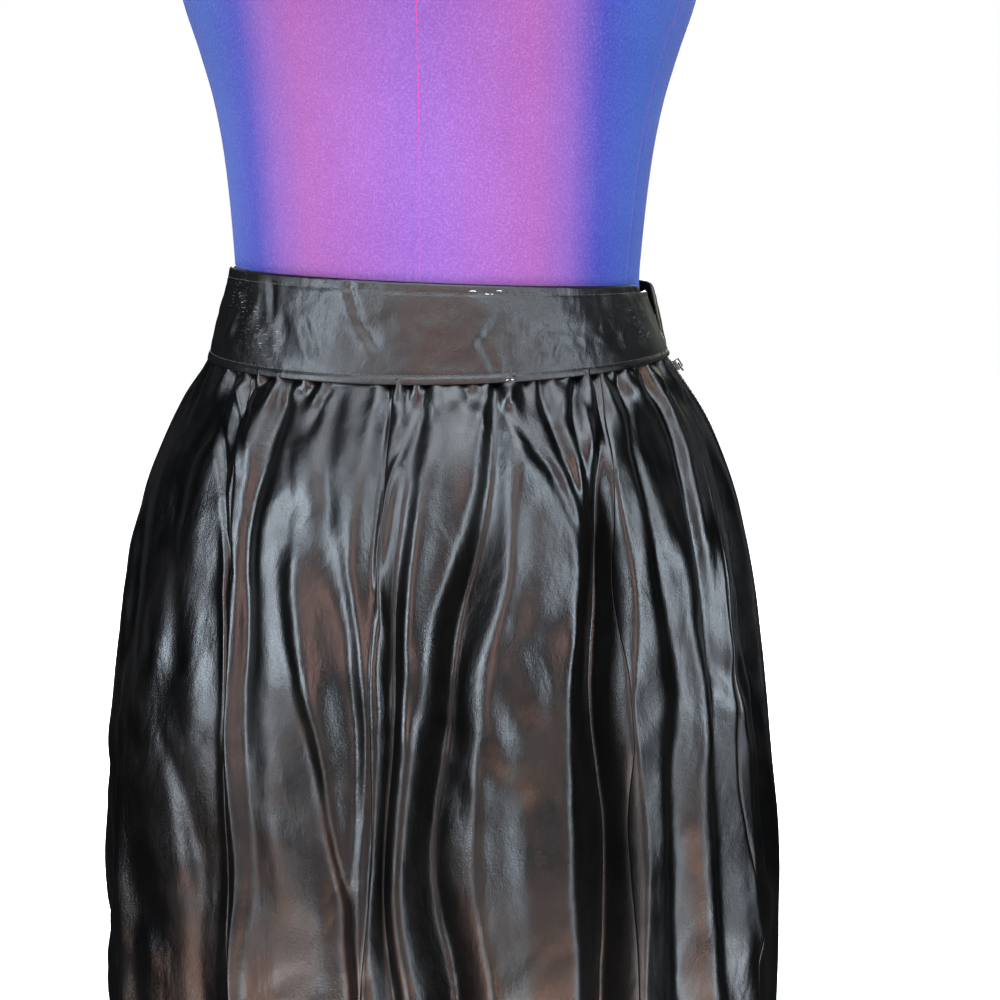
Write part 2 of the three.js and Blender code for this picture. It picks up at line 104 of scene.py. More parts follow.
# The valleys between the large folds: their turns at LEVELS, their half widths in degrees
# towards the wearer's right and left, the drop where each starts, how far it goes in at the hip
# and at the hem, and how sharp its bottom is, from 0 for round to 1 for a crease.
VALLEYS = table(
    "turns right left start hip hem crisp",
    ((-68, -66, -63, -60, -58, -58), 4, 7, 8, 4, 8, 0.3),
    ((-47, -38, -34, -31, -29, -28), 12, 2.5, 8, 2.5, 8, 0.5),
    ((-14, -12, -9.5, -8.5, -9, -10), 5, 2.2, 60, 4, 16, 0.3),
    ((1.5, -1.5, -2.5, -3, -3.5, -4), 2.2, 3, 8, 7, 12, 0.7),
    ((17, 13, 7.5, 5, 5, 6), 5, 5.5, 8, 17, 30, 0.6),
    ((41, 34.5, 32.5, 31, 30, 29.5), 7, 4, 8, 24, 36, 0.8),
    ((50, 44, 43, 42.5, 42.5, 42), 3.5, 7, 30, 7, 12, 0.5),
    ((61, 57.5, 56, 54, 54, 55), 3.5, 6, 20, 8, 13, 0.5),
    ((81, 75, 71, 69, 71, 75), 4, 9, 8, 11, 17, 0.6),
    ((103, 104, 105, 106, 106, 106), 7, 6, 8, 20, 30, 0.5),
    ((121, 122, 124, 126, 127, 128), 7, 9, 8, 24, 34, 0.8),
    ((141, 142, 143, 143, 142, 141), 6, 5, 25, 17, 27, 0.4),
    ((160, 161, 162, 164, 166, 168), 9, 7, 8, 26, 36, 0.7),
    ((183, 183, 184, 186, 187, 188), 6, 8, 15, 21, 30, 0.5),
    ((201, 201, 201, 200, 200, 200), 7, 5, 30, 16, 24, 0.3),
    ((222, 222, 223, 225, 226, 226), 7, 9, 8, 25, 35, 0.8),
    ((245, 245, 246, 246, 246, 246), 8, 6, 20, 20, 31, 0.5),
    ((268, 268, 267, 267, 266, 265), 6, 8, 8, 22, 32, 0.6),
)
VALLEY_FULL = 115.0

# Ridges within the folds, or troughs where out is negative: the drops and turns they run
# through, how far they stand out, their half widths in millimetres towards the wearer's right
# and left, and how crisp they are, from 0 for a soft swell to 1 for a crease.
FOLDS = table(
    "drops turns out right left crisp",
    ((40, 70, 100, 140, 180, 225, 270, 600), (-61, -53, -48, -45, -45, -38, -34, -33), -2.8, 8, 40, 0.6),
    ((150, 230, 340, 500), (-62, -58, -54, -53), 7, 9, 22, 0.2),
    ((0, 14, 28, 52, 76, 100, 200), (-51, -49, -45, -39, -35, -32, -30), -3.4, 3, 6, 0.9),
    ((5, 28, 52), (-45, -39, -35), 2.4, 5, 6, 0.3),
    ((60, 90, 140, 240, 340, 700), (-34, -32, -30, -27, -25, -24), 3.5, 5, 9, 0.7),
    ((0, 35, 75, 110, 170), (-31, -30.5, -29.5, -27.5, -26), -4.6, 7, 13, 0.5),
    ((90, 160, 230, 330), (-27, -26, -24.5, -23.5), -3.0, 6, 20, 0.3),
    ((0, 25, 47, 85, 124, 150), (-30, -26, -23, -20, -17, -14.5), -1.8, 3, 3, 1.0),
    ((60, 90, 150, 190, 225, 260, 350), (-21, -19, -15, -12, -10, -8, -7.5), 6.5, 9, 20, 0.5),
    ((2, 12, 28), (-20, -21, -21.5), -2.6, 5, 4, 0.2),
    ((0, 40, 80), (-18, -16, -13.5), -2.4, 9, 8, 0.0),
    ((0, 12, 26, 41, 53, 75, 130), (2, 0.7, -1.2, -3.7, -4.5, -5, -3), 2.6, 3.5, 3.5, 0.6),
    ((0, 35, 80, 135, 230, 420), (2.8, 2, 0.5, -0.8, -2, -1.5), 3.2, 4, 13, 0.4),
    ((30, 90, 150, 230, 400), (17, 15, 9, 11, 10), 3.4, 6, 14, 0.6),
    ((0, 13, 21, 33, 47, 68, 100), (23.5, 18.5, 20, 22.5, 25.5, 27.5, 29), -2.2, 3.5, 6, 0.8),
    ((0, 14, 33, 58, 80), (27.5, 27, 28, 29.5, 30), -4.2, 4, 6, 0.6),
    ((0, 22, 36, 53, 75), (37, 32.5, 32, 32, 32), -3.6, 4, 4, 0.8),
    ((2, 12, 26, 46), (36, 35.5, 35, 34.5), 2.2, 4, 4, 0.3),
    ((60, 150, 300, 500), (28, 25, 23, 22), 3.0, 14, 6, 0.6),
    ((0, 19, 42, 63, 100), (50, 48, 44, 43.5, 43), -3.2, 3, 6, 0.8),
    ((0, 15, 36, 54, 80, 120), (60, 60, 59, 57.5, 57, 56), -4.4, 6, 3.5, 0.6),
    ((0, 10, 27, 44, 75, 130), (61.5, 62, 62, 60.5, 59.5, 58), 2.8, 3, 8, 0.6),
    ((100, 240, 600), (48, 49, 48), 3.0, 10, 10, 0.1),
    ((70, 170, 290, 420), (65, 61, 61, 68), 2.4, 6, 5, 0.7),
    ((130, 220, 340), (15, 18, 17), -2.4, 14, 14, 0.0),
    ((0, 90, 260), (112, 115, 113), 3.6, 6, 12, 0.6),
    ((40, 170, 420), (133, 135, 134), 3.0, 13, 5, 0.7),
    ((0, 110, 300), (172, 175, 177), 4.0, 11, 7, 0.4),
    ((60, 210, 520), (192, 193, 194), 2.8, 5, 12, 0.7),
    ((0, 70, 190), (233, 235, 236), 4.2, 8, 12, 0.5),
    ((90, 240, 560), (256, 257, 256), 3.2, 12, 6, 0.6),
)

# Tucks in the gathers under the band: the turn at the seam, the turn and drop where each fades
# out, and its depth.
TUCKS = table(
    "turn end drop depth",
    (-71, -60, 42, 3.6),
    (-52, -49, 20, 4.0),
    (-43, -38, 50, 3.6),
    (-38, -40.5, 11, 2.8),
    (-31, -31, 42, 4.6),
    (-28.5, -26, 13, 2.8),
    (-24, -25.5, 13, 2.8),
    (-6.2, -6, 130, 3.4),
    (-2, -2.3, 16, 4.2),
    (1.5, -1, 44, 4.0),
    (10.5, 11, 11, 2.4),
    (13.7, 13, 12, 3.0),
    (17, 13.5, 56, 5.6),
    (24, 22.5, 15, 4.0),
    (27.4, 27.2, 18, 3.4),
    (37, 33, 24, 4.0),
    (42, 37, 48, 4.6),
    (46, 45.7, 14, 3.0),
    (50, 48, 20, 3.2),
    (60, 60, 20, 4.4),
    (71, 67, 30, 4.0),
    (82, 76, 40, 4.4),
)
HIDDEN_TUCKS = {"start": 103.0, "stop": 283.0, "gap": (4.0, 9.0), "aside": (-3.5, 3.5), "drop": (15, 70),
                "depth": (2.4, 5.6), "seed": 11}
TUCK = {"half": 3.6, "puff": 0.42, "puff_at": 2.1, "puff_half": 1.1}

# The cloth's own unevenness: how high it is (for the sway, how many degrees), how far each swell
# runs round (degrees) and down, its slant and its seed. SETS_IN gives the drops where each kind
# begins and where it is full.
UNEVEN = "out degrees down slant seed"
RIPPLES = table(UNEVEN, (3.2, 11.0, 105, 0.15, 3), (1.5, 6.0, 36, -0.3, 5), (0.40, 2.8, 15, 0.4, 8))
BAND_RIPPLES = table(UNEVEN, (0.60, 9.0, 22, 0, 31), (0.50, 4.4, 10, 0, 32), (0.20, 2.0, 5, 0, 33))
SWAY, CRUMPLES, CRUMPLE_PATCHES, BAND_TOP_WAVE = table(
    UNEVEN, (1.8, 14.0, 80, 0, 21), (1.9, 5.0, 21, -0.5, 51), (1.0, 12, 80, 0, 52), (0.35, 7.0, 30, 0, 44))
SETS_IN = {"sway": (20, 160), "ripples": (0, 30), "crumples": (60, 200), "seams": (0, 12)}
PATCH_EDGE = (-0.05, 0.6)

# How far each panel's edge stays from its seam, and the lift and place of the hem's stitches.
PANEL_GAP = 0.05
STITCH_LIFT = 0.12
HEM_STITCHES = {"drop": HEM_TOP + 1.0, "turns": (-79, 280), "points": 2400}
SEAM = {"groove": 0.5, "groove_half": 0.6, "lip": 0.15, "lip_at": 2.4, "lip_half": 1.6}
TUCKED_UNDER = {"depth": 0.9, "drops": (-4, 2)}
HEM_STEP = {"out": 0.35, "run": 1.5}
# The drops over which the creases are freed below the band and held again above the hem, how far
# they roll over each time, and how many times.
ROLL = {"free": (4, 30), "held": (CLOTH_DROP - 60, CLOTH_DROP - 26), "share": 0.5, "times": 3}

BAND = {
    "top_width": 123.6, "top_depth": 96.4, "bottom_width": 139.5, "bottom_depth": 109.5,
    "top_tilt": 4.8, "side_rise": 4.0, "left_rise": 1.2, "end_gap": 0.2, "notch": 2.4,
    "off_back": 7.0, "off_front": 1.5, "off_degrees": 13.0,
    "dip": 4.5, "dip_degrees": 4.0, "dip_front": 15.0,
    "wall": 2.3, "ledge": 4.0, "ledge_out": 0.55, "line_depth": 0.22, "line_half": 0.8,
    "per_degree": 2.3, "columns": 460, "crowding": 0.35, "face_rows": 60, "back_rows": 16, "edge_rows": 6,
    "stitch_gap": 0.8, "stitch_points": 900,
}
# The heights on the band of its two rows of topstitching.
STITCH_LINES = (BAND_DEPTH - 5.0, BAND["ledge"] + 0.9)

# Creases across the waistband: the turn and share of the height where each starts and ends, how
# deep it goes in, and its half width.
BAND_CREASES = table(
    "turn up to_turn to_up depth half",
    (-18, 0.98, -14, 0.62, 1.4, 2.4),
    (-14, 0.62, -9, 0.34, 1.2, 2.8),
    (-42, 0.92, -39, 0.55, 1.1, 2.8),
    (-52, 0.85, -53, 0.30, 0.8, 4.5),
    (-36, 0.62, -33, 0.20, 0.9, 4.0),
    (-29, 0.60, -24, 0.22, 0.8, 3.0),
    (14, 0.46, 17, 0.12, 0.8, 2.2),
    (19, 0.66, 12, 0.30, 0.7, 2.6),
    (33, 0.36, 31, 0.16, 0.8, 1.5),
    (28, 0.30, 27, 0.14, 0.7, 1.4),
    (24, 0.56, 48, 0.50, 0.28, 3.0),
    (26, 0.80, 52, 0.74, 0.22, 3.2),
    (68, 0.95, 74, 0.55, 1.2, 3.2),
    (76, 0.60, 77, 0.05, 1.0, 2.4),
    (83, 0.62, 82, 0.05, 0.9, 2.0),
    (110, 0.90, 118, 0.40, 0.9, 3.4),
    (146, 0.95, 143, 0.50, 1.1, 3.0),
    (170, 0.60, 176, 0.10, 0.8, 2.8),
    (196, 0.90, 203, 0.45, 1.0, 3.2),
    (228, 0.70, 224, 0.15, 0.9, 3.0),
    (255, 0.95, 260, 0.50, 1.0, 3.4),
)

# Pale ends of tacking thread left in the band's edges.
THREAD_ENDS = table(
    "turn up length bend",
    (13.0, 0.93, 3.6, 1.2), (17.0, 0.91, 4.6, -1.0), (19.5, 0.94, 3.0, 1.2), (20.0, 0.03, 4.0, 1.0),
    (196.0, 0.92, 4.5, 1.4),
)
THREAD = {"radius": 0.14, "flat": 0.3, "lift": 0.15, "rings": 9, "sides": 6}

# The dress form's torso, by rise above the waistband's top edge.
TORSO = {
    "rise": (-250, -200, -140, -56, 0, 14, 40, 68, 96, 123, 150, 190, 240, 300, 340, 364, 384, 402, 450),
    "half_width": (143, 150, 148, 129.5, 120.3, 120.8, 122.2, 124.6, 129, 136, 144, 151, 156, 168, 168,
                   132, 86, 61, 56),
    "front": (100, 106, 107, 98.5, 93.2, 93.8, 95.4, 98, 102, 109, 118, 127, 118, 90, 68, 58, 53, 51, 50),
    "back": (108, 114, 113, 98.5, 93.2, 93.8, 95.4, 98, 101, 104, 107, 109, 109, 98, 80, 68, 60, 55, 52),
}
TORSO_LEAN = 0.022
TORSO_SEAMS = (-178, -118, -76, 0, 68, 118)
TORSO_SEAM = {"groove": 0.45, "groove_half": 0.9, "lip": 0.2, "lip_at": 2.4, "lip_half": 1.4}
TORSO_EDGE = {"bottom": 2.5, "top": 3.0, "run": 4}
TORSO_ROWS = {"shoulder": 300, "above": 60, "below": 110, "between_seams": 25}

STAND = {
    "foot_radius": 165, "foot_edge": 7, "foot_centre": 14, "boss_radius": 26, "boss_height": 70,
    "socket_floor": 6, "pole_radius": 14, "fit": 0.4, "flange_radius": 45, "flange_thick": 8, "touch": 0.3,
}
NECK_CAP = {"radius": 44, "thick": 9, "edge": 2.5, "stem_radius": 8, "stem_height": 10, "knob_radius": 16,
            "knob_start": -60}

# The zip. The seam closes over its last millimetres, and the cloth is held flat near it and is
# free again at so many degrees.
ZIP = {"length": 210, "tape_top": -3, "tape_width": 24, "tape_wall": 0.8, "behind": 0.4, "parting": 2.6,
       "closes": 12, "tooth": 1.5, "teeth_top": 4, "teeth_end": 8, "teeth_apart": 0.75, "teeth_out": 0.7,
       "stitched_at": 7.5, "held": 7, "free": 18, "rows": 120, "columns": 26, "points": 200}
SLIDER_EDGE = 0.22


# ---- helpers for shapes

def smoothstep(x, low, high):
    share = np.clip((x - low) / (high - low), 0, 1)
    return share * share * (3 - 2 * share)


def lerp(a, b, share):
    return a + (b - a) * share


def bell(x, half=1.0, middle=0.0):
    """1 in the middle, and falling away smoothly on both sides."""
    return np.exp(-((x - middle) / half) ** 2)


def eased(places, values, at):
    """A smooth curve through the values at those places that never overshoots them."""
    places = np.asarray(places, float)
    values = np.asarray(values, float)
    x = np.clip(at, places[0], places[-1])
    i = np.clip(np.searchsorted(places, x) - 1, 0, len(places) - 2)
    slope = np.diff(values) / np.diff(places)
    product = slope[:-1] * slope[1:]
    total = np.where(product > 0, slope[:-1] + slope[1:], 1)
    inner = np.where(product > 0, 2 * product / total, 0)
    tangent = np.concatenate([slope[:1], inner, slope[-1:]])
    step = places[i + 1] - places[i]
    t = (x - places[i]) / step
    straight = lerp(values[i], values[i + 1], t * t * (3 - 2 * t))
    return straight + step * t * (1 - t) * ((1 - t) * tangent[i] - t * tangent[i + 1])


def between(turn, start):
    """The signed difference between two turns, from -180 to 180 degrees."""
    return (turn - start + 180) % 360 - 180


def swells(turn, drop, uneven):
    """Smooth seeded unevenness from -1 to 1, with the size and slant of swell that the row gives."""
    down = uneven["down"]
    columns = max(4, round(360 / uneven["degrees"]))
    rows = int(CLOTH_DROP / down) + 8
    values = np.random.default_rng(uneven["seed"]).uniform(-1, 1, (rows, columns))
    leaning = 0.35 * np.sin(drop / down * 0.9 + uneven["seed"]) + uneven["slant"] * drop / down
    x = (turn % 360) / 360 * columns + leaning
    y = np.clip(drop / down + 3, 0, rows - 2.001)
    column = np.floor(x).astype(int)
    row = np.floor(y).astype(int)
    across = smoothstep(x - column, 0, 1)
    left = column % columns
    right = (column + 1) % columns
    upper = lerp(values[row, left], values[row, right], across)
    lower = lerp(values[row + 1, left], values[row + 1, right], across)
    return lerp(upper, lower, smoothstep(y - row, 0, 1))


def outline(drop):
    return (eased(OUTLINE["drop"], OUTLINE["half_width"], drop),
            eased(OUTLINE["drop"], OUTLINE["half_depth"], drop))


def per_degree(turn, half_width, half_depth):
    """How many millimetres one degree of turn is, along the ellipse."""
    angle = np.radians(turn)
    return np.hypot(half_width * np.cos(angle), half_depth * np.sin(angle)) * math.pi / 180


def on_ellipse(turn, half_width, half_depth, height, out=0.0):
    """Points at a turn on an ellipse, moved outwards."""
    angle = np.radians(turn)
    x = half_depth * np.sin(angle)
    y = -half_width * np.cos(angle)
    size = np.hypot(x, y)
    return np.stack([
        half_width * np.sin(angle) + out * x / size,
        -half_depth * np.cos(angle) + out * y / size,
        np.broadcast_to(height, x.shape).astype(float),
    ], axis=-1)


def seam_relief(away, seam):
    """How far cloth stands out near a seam: sunk in along it, with a low lip on each side."""
    return seam["lip"] * bell(away, seam["lip_half"], seam["lip_at"]) - seam["groove"] * bell(
        away, seam["groove_half"])


# ---- the skirt's surface

def valleys_in(turn, drop):
    """How far the largest valley here goes in."""
    down = smoothstep(drop, VALLEY_FULL, CLOTH_DROP)
    deepest = np.zeros_like(turn)
    for valley in VALLEYS:
        opened = smoothstep(drop, valley["start"], VALLEY_FULL)
        off = between(turn, eased(LEVELS, valley["turns"], drop))
        half = np.where(off < 0, valley["right"], valley["left"]) * lerp(0.6, 1.0, opened)
        across = np.clip(np.abs(off / half), 0, 1)
        depth = opened * lerp(valley["hip"], valley["hem"], down)
        shape = lerp((1 - across ** 2) ** 2, (1 - across) ** 1.35, valley["crisp"])
        deepest = np.maximum(deepest, depth * shape)
    return deepest


def folds_out(turn, drop, millimetres):
    """How far the ridges and troughs within the folds stand out."""
    total = np.zeros_like(turn)
    for fold in FOLDS:
        first, last = fold["drops"][0], fold["drops"][-1]
        length = last - first
        off = between(turn, eased(fold["drops"], fold["turns"], drop)) * millimetres
        across = np.clip(np.abs(off) / np.where(off < 0, fold["right"], fold["left"]), 0, 1)
        shape = lerp((1 - across ** 2) ** 2, (1 - across) ** 2, fold["crisp"])
        begins = smoothstep(drop, first - 6, first + 0.16 * length)
        ends = 1 - smoothstep(drop, last - 0.4 * length, last + 0.1 * length)
        total += fold["out"] * begins * ends * shape
    return total


def all_tucks():
    """The listed tucks, and seeded ones like them round the rest of the band."""
    draw = np.random.default_rng(HIDDEN_TUCKS["seed"])
    tucks = list(TUCKS)
    turn = HIDDEN_TUCKS["start"]
    while turn < HIDDEN_TUCKS["stop"]:
        aside, drop, depth = (draw.uniform(*HIDDEN_TUCKS[label]) for label in ("aside", "drop", "depth"))
        tucks.append({"turn": turn, "end": turn + aside, "drop": drop, "depth": depth})
        turn += draw.uniform(*HIDDEN_TUCKS["gap"])
    return tucks


def tucks_in(turn, drop, millimetres):
    """How far the gathers' tucks go in, and how far the cloth puffs out beside them."""
    total = np.zeros_like(turn)
    for tuck in all_tucks():
        share = np.clip(drop / tuck["drop"], 0, 1.3)
        path = lerp(tuck["turn"], tuck["end"], share)
        off = np.abs(between(turn, path) * millimetres) / (TUCK["half"] * lerp(0.8, 2.0, share))
        fade = 1 - smoothstep(share, 0.25, 1.25)
        inward = 0.55 * bell(off) + 0.45 * np.exp(-2.0 * off)
        puff = TUCK["puff"] * bell(off, TUCK["puff_half"], TUCK["puff_at"])
        total += tuck["depth"] * fade * (inward - puff)
    return total


def seam_rise(turn):
    """How far the seam under the waistband rises above its height at the centre front."""
    side = np.sin(np.radians(turn))
    return BAND["side_rise"] * side * side + BAND["left_rise"] * side


def skirt_surface(turn, drop, from_seam=None):
    """Points of the cloth's outer face. from_seam is the distance to the panel's nearer seam."""
    half_width, half_depth = outline(drop)
    millimetres = per_degree(turn, half_width, half_depth)
    begins = {label: smoothstep(drop, *drops) for label, drops in SETS_IN.items()}
    free = smoothstep(np.abs(between(turn, CLOSURE_TURN)), ZIP["held"], ZIP["free"])
    swayed = turn + SWAY["out"] * begins["sway"] * swells(turn, drop, SWAY) * free
    out = folds_out(swayed, drop, millimetres) - valleys_in(swayed, drop)
    out -= tucks_in(turn, drop, millimetres) * free
    for ripple in RIPPLES:
        out += ripple["out"] * begins["ripples"] * lerp(0.2, 1, free) * swells(swayed, drop, ripple)
    patch = smoothstep(swells(turn, drop, CRUMPLE_PATCHES), *PATCH_EDGE)
    out += CRUMPLES["out"] * patch * begins["crumples"] * free * swells(turn, drop, CRUMPLES)
    out += HEM_STEP["out"] * smoothstep(drop, HEM_TOP, HEM_TOP + HEM_STEP["run"])
    out -= TUCKED_UNDER["depth"] * (1 - smoothstep(drop, *TUCKED_UNDER["drops"]))
    if from_seam is not None:
        out += seam_relief(from_seam, SEAM) * begins["seams"]
    rise = seam_rise(turn) * (1 - np.clip(drop, 0, CLOTH_DROP) / CLOTH_DROP)
    return on_ellipse(turn, half_width, half_depth, BAND_BOTTOM - SEAM_GAP - drop + rise, out)


def cloth_rows():
    """The drops of the panels' rows: close together at the gathers, and further apart below."""
    parts = [np.linspace(start, stop, count, endpoint=False)
             for (start, count), (stop, _) in zip(ROWS, ROWS[1:])]
    return np.concatenate(parts + [np.linspace(ROWS[-1][0], CLOTH_DROP, ROWS[-1][1])])


def crowded(count, edge=0.9):
    """Shares from 0 to 1, closer together at both ends."""
    even = np.linspace(0, 1, count)
    return lerp(even, (1 - np.cos(math.pi * even)) / 2, edge)


# ---- helpers for meshes

def link(name, mesh):
    piece = bpy.data.objects.new(name, mesh)
    bpy.context.scene.collection.objects.link(piece)
    return piece


def make_piece(name, points, faces, uvs=None):
    """A smooth object from points in millimetres. uvs holds one pair for each point."""
    mesh = bpy.data.meshes.new(name)
    mesh.from_pydata((np.asarray(points, float).reshape(-1, 3) * MM).tolist(), [], faces)
    mesh.polygons.foreach_set("use_smooth", [True] * len(mesh.polygons))
    if uvs is not None:
        corners = np.empty(len(mesh.loops), int)
        mesh.loops.foreach_get("vertex_index", corners)
        layer = mesh.uv_layers.new(name="UVMap")
        layer.data.foreach_set("uv", np.asarray(uvs, float).reshape(-1, 2)[corners].ravel())
    mesh.validate()
    mesh.update()
    return link(name, mesh)


def grid_faces(rows, columns, round_rows=False, round_columns=False):
    """Quads over a grid, facing out where rows run down and columns run towards the wearer's left."""
    faces = []
    for r in range(rows if round_rows else rows - 1):
        here, below = r * columns, (r + 1) % rows * columns
        for c in range(columns if round_columns else columns - 1):
            beside = (c + 1) % columns
            faces.append((here + c, below + c, below + beside, here + beside))
    return faces


def grid_uvs(points):
    """How far each point lies across and down its grid, in metres."""
    across = np.linalg.norm(np.diff(points, axis=1), axis=2)
    down = np.linalg.norm(np.diff(points, axis=0), axis=2)
    u = np.pad(np.cumsum(across, axis=1), ((0, 0), (1, 0)))
    u -= u[:, -1:] / 2
    v = np.pad(np.cumsum(down, axis=0), ((1, 0), (0, 0))).mean(axis=1, keepdims=True)
    return np.stack([u, np.broadcast_to(-v, u.shape)], axis=-1) * MM


def thicken(piece, wall):
    shell = piece.modifiers.new("Wall", "SOLIDIFY")
    shell.thickness = wall * MM
    shell.offset = -1


def merged(mesh, source, distance, flatten=None):
    """Fills the mesh with the source's, its coincident points merged and flat faces joined."""
    shape = bmesh.new()
    shape.from_mesh(source)
    bmesh.ops.remove_doubles(shape, verts=shape.verts, dist=distance)
    if flatten:
        bmesh.ops.dissolve_limit(shape, angle_limit=flatten, verts=shape.verts, edges=shape.edges)
    shape.to_mesh(mesh)
    shape.free()


def turned(name, profile, segments=96):
    """A solid of revolution from (radius, height) pairs that start and end on the axis."""
    inner = profile[1:-1]
    angles = np.linspace(0, 2 * math.pi, segments, endpoint=False)
    points = [(radius * math.cos(a), radius * math.sin(a), height)
              for radius, height in inner for a in angles]
    points += [(0, 0, profile[0][1]), (0, 0, profile[-1][1])]
    faces = [(a, d, c, b) for a, b, c, d in grid_faces(len(inner), segments, round_columns=True)]
    top = (len(inner) - 1) * segments
    for c in range(segments):
        beside = (c + 1) % segments
        faces.append((len(points) - 2, beside, c))
        faces.append((len(points) - 1, top + c, top + beside))
    return make_piece(name, points, faces)


def rounded(corners, radius, steps=5):
    """A profile of (radius, height) corners with each inner corner rounded."""
    path = [corners[0]]
    for before, corner, after in zip(corners, corners[1:], corners[2:]):
        before, corner, after = (np.array(p, float) for p in (before, corner, after))
        back, on = before - corner, after - corner
        reach = min(radius, np.linalg.norm(back) / 2.2, np.linalg.norm(on) / 2.2)
        start = corner + back / np.linalg.norm(back) * reach
        end = corner + on / np.linalg.norm(on) * reach
        for t in np.linspace(0, 1, steps):
            path.append(tuple((1 - t) ** 2 * start + 2 * t * (1 - t) * corner + t ** 2 * end))
    return path + [corners[-1]]


def finish_piece(piece, material, body=BODY, stands_for=None):
    """Gives a piece its material and its body, and hides the CAD node that it stands for."""
    if not piece.data.materials:
        piece.data.materials.append(bpy.data.materials[material])
    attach(piece, body)
    if stands_for:
        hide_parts(stands_for)


# ---- helpers for node trees

def new_tree(name, kind, inputs, outputs):
    """An empty node tree, from the name, type and default of each input and the name and type of
    each output. Returns the tree, what it is given and what it puts out."""
    tree = bpy.data.node_groups.new(name, kind)
    for label, socket_type, *default in inputs:
        socket = tree.interface.new_socket(name=label, in_out="INPUT", socket_type="NodeSocket" + socket_type)
        if default:
            socket.default_value = default[0]
    for label, socket_type in outputs:
        tree.interface.new_socket(name=label, in_out="OUTPUT", socket_type="NodeSocket" + socket_type)
    return tree, tree.nodes.new("NodeGroupInput").outputs, tree.nodes.new("NodeGroupOutput").inputs


def add_node(tree, kind, inputs, **settings):
    """A node with its settings, and its inputs by name or number, each a value or another's output."""
    node = tree.nodes.new(kind)
    for label, value in settings.items():
        setattr(node, label, value)
    for label, value in inputs.items():
        if isinstance(value, NodeSocket):
            tree.links.new(value, node.inputs[label])
        else:
            node.inputs[label].default_value = value
    return node


def add_math(tree, operation, *values):
    return add_node(tree, "ShaderNodeMath", dict(enumerate(values)), operation=operation).outputs[0]


def split(tree, vector):
    return add_node(tree, "ShaderNodeSeparateXYZ", {0: vector}).outputs


def joined(tree, x, y, z):
    return add_node(tree, "ShaderNodeCombineXYZ", {0: x, 1: y, 2: z}).outputs[0]


def add_noise(tree, vector, scale, detail, **more):
    inputs = {"Vector": vector, "Scale": scale, "Detail": detail, **more}
    return add_node(tree, "ShaderNodeTexNoise", inputs).outputs["Fac"]


def stretched(tree, vector, scale, degrees=0):
    turned_by = (0, 0, math.radians(degrees))
    inputs = {"Vector": vector, "Scale": scale, "Rotation": turned_by}
    return add_node(tree, "ShaderNodeMapping", inputs).outputs[0]


def spread(tree, value, low, high, to_low=0.0, to_high=1.0, way="LINEAR"):
    """The value's place between low and high, spread from to_low to to_high."""
    inputs = {"Value": value, "From Min": low, "From Max": high, "To Min": to_low, "To Max": to_high}
    return add_node(tree, "ShaderNodeMapRange", inputs, interpolation_type=way).outputs[0]


def mix_colours(tree, mask, first, second):
    first, second = ((*one, 1) if isinstance(one, tuple) else one for one in (first, second))
    inputs = {"Factor": mask, "A": first, "B": second}
    return add_node(tree, "ShaderNodeMix", inputs, data_type="RGBA").outputs["Result"]


def add_bump(tree, height, strength, distance, below=None):
    inputs = {"Strength": strength, "Distance": distance, "Height": height}
    if below is not None:
        inputs["Normal"] = below
    return add_node(tree, "ShaderNodeBump", inputs).outputs["Normal"]


# ---- effects shared by materials

def weave_group(name):
    """Satin floats or a plain weave, as a height: fine ribs along the cloth and finer ones across it."""
    tree, given, result = new_tree(name, "ShaderNodeTree", (
        ("Vector", "Vector"), ("Threads", "Float", 1600.0), ("Slub", "Float", 0.5)), (("Height", "Float"),))
    ribs, rows = (
        add_math(tree, "SINE", add_math(tree, "MULTIPLY", part, given["Threads"]))
        for part in split(tree, given["Vector"])[:2])
    uneven = add_noise(tree, stretched(tree, given["Vector"], (900, 60, 60)), 1.0, 2.0)
    slubs = add_math(tree, "MULTIPLY", uneven, given["Slub"])
    tree.links.new(add_math(tree, "ADD", add_math(tree, "MULTIPLY", ribs, rows), slubs), result["Height"])
    return tree


def crumple_group(name):
    """Fine crumpling of a soft cloth, longer down the cloth than across it, as a height."""
    tree, given, result = new_tree(name, "ShaderNodeTree", (
        ("Vector", "Vector"), ("Size", "Float", 40.0), ("Length", "Float", 0.4)), (("Height", "Float"),))
    x, y, z = split(tree, given["Vector"])
    shorter = joined(tree, x, y, add_math(tree, "MULTIPLY", z, given["Length"]))
    tree.links.new(add_noise(tree, shorter, given["Size"], 3.0, Distortion=0.6), result["Height"])
    return tree


def patches_group(name):
    """A mask of soft uneven patches, as where a finish has lost its gloss or caught dust."""
    tree, given, result = new_tree(name, "ShaderNodeTree", (
        ("Vector", "Vector"), ("Size", "Float", 12.0), ("Least", "Float", 0.45), ("Most", "Float", 0.65)),
        (("Mask", "Float"),))
    noise = add_noise(tree, given["Vector"], given["Size"], 5.0, Roughness=0.6)
    tree.links.new(spread(tree, noise, given["Least"], given["Most"]), result["Mask"])
    return tree


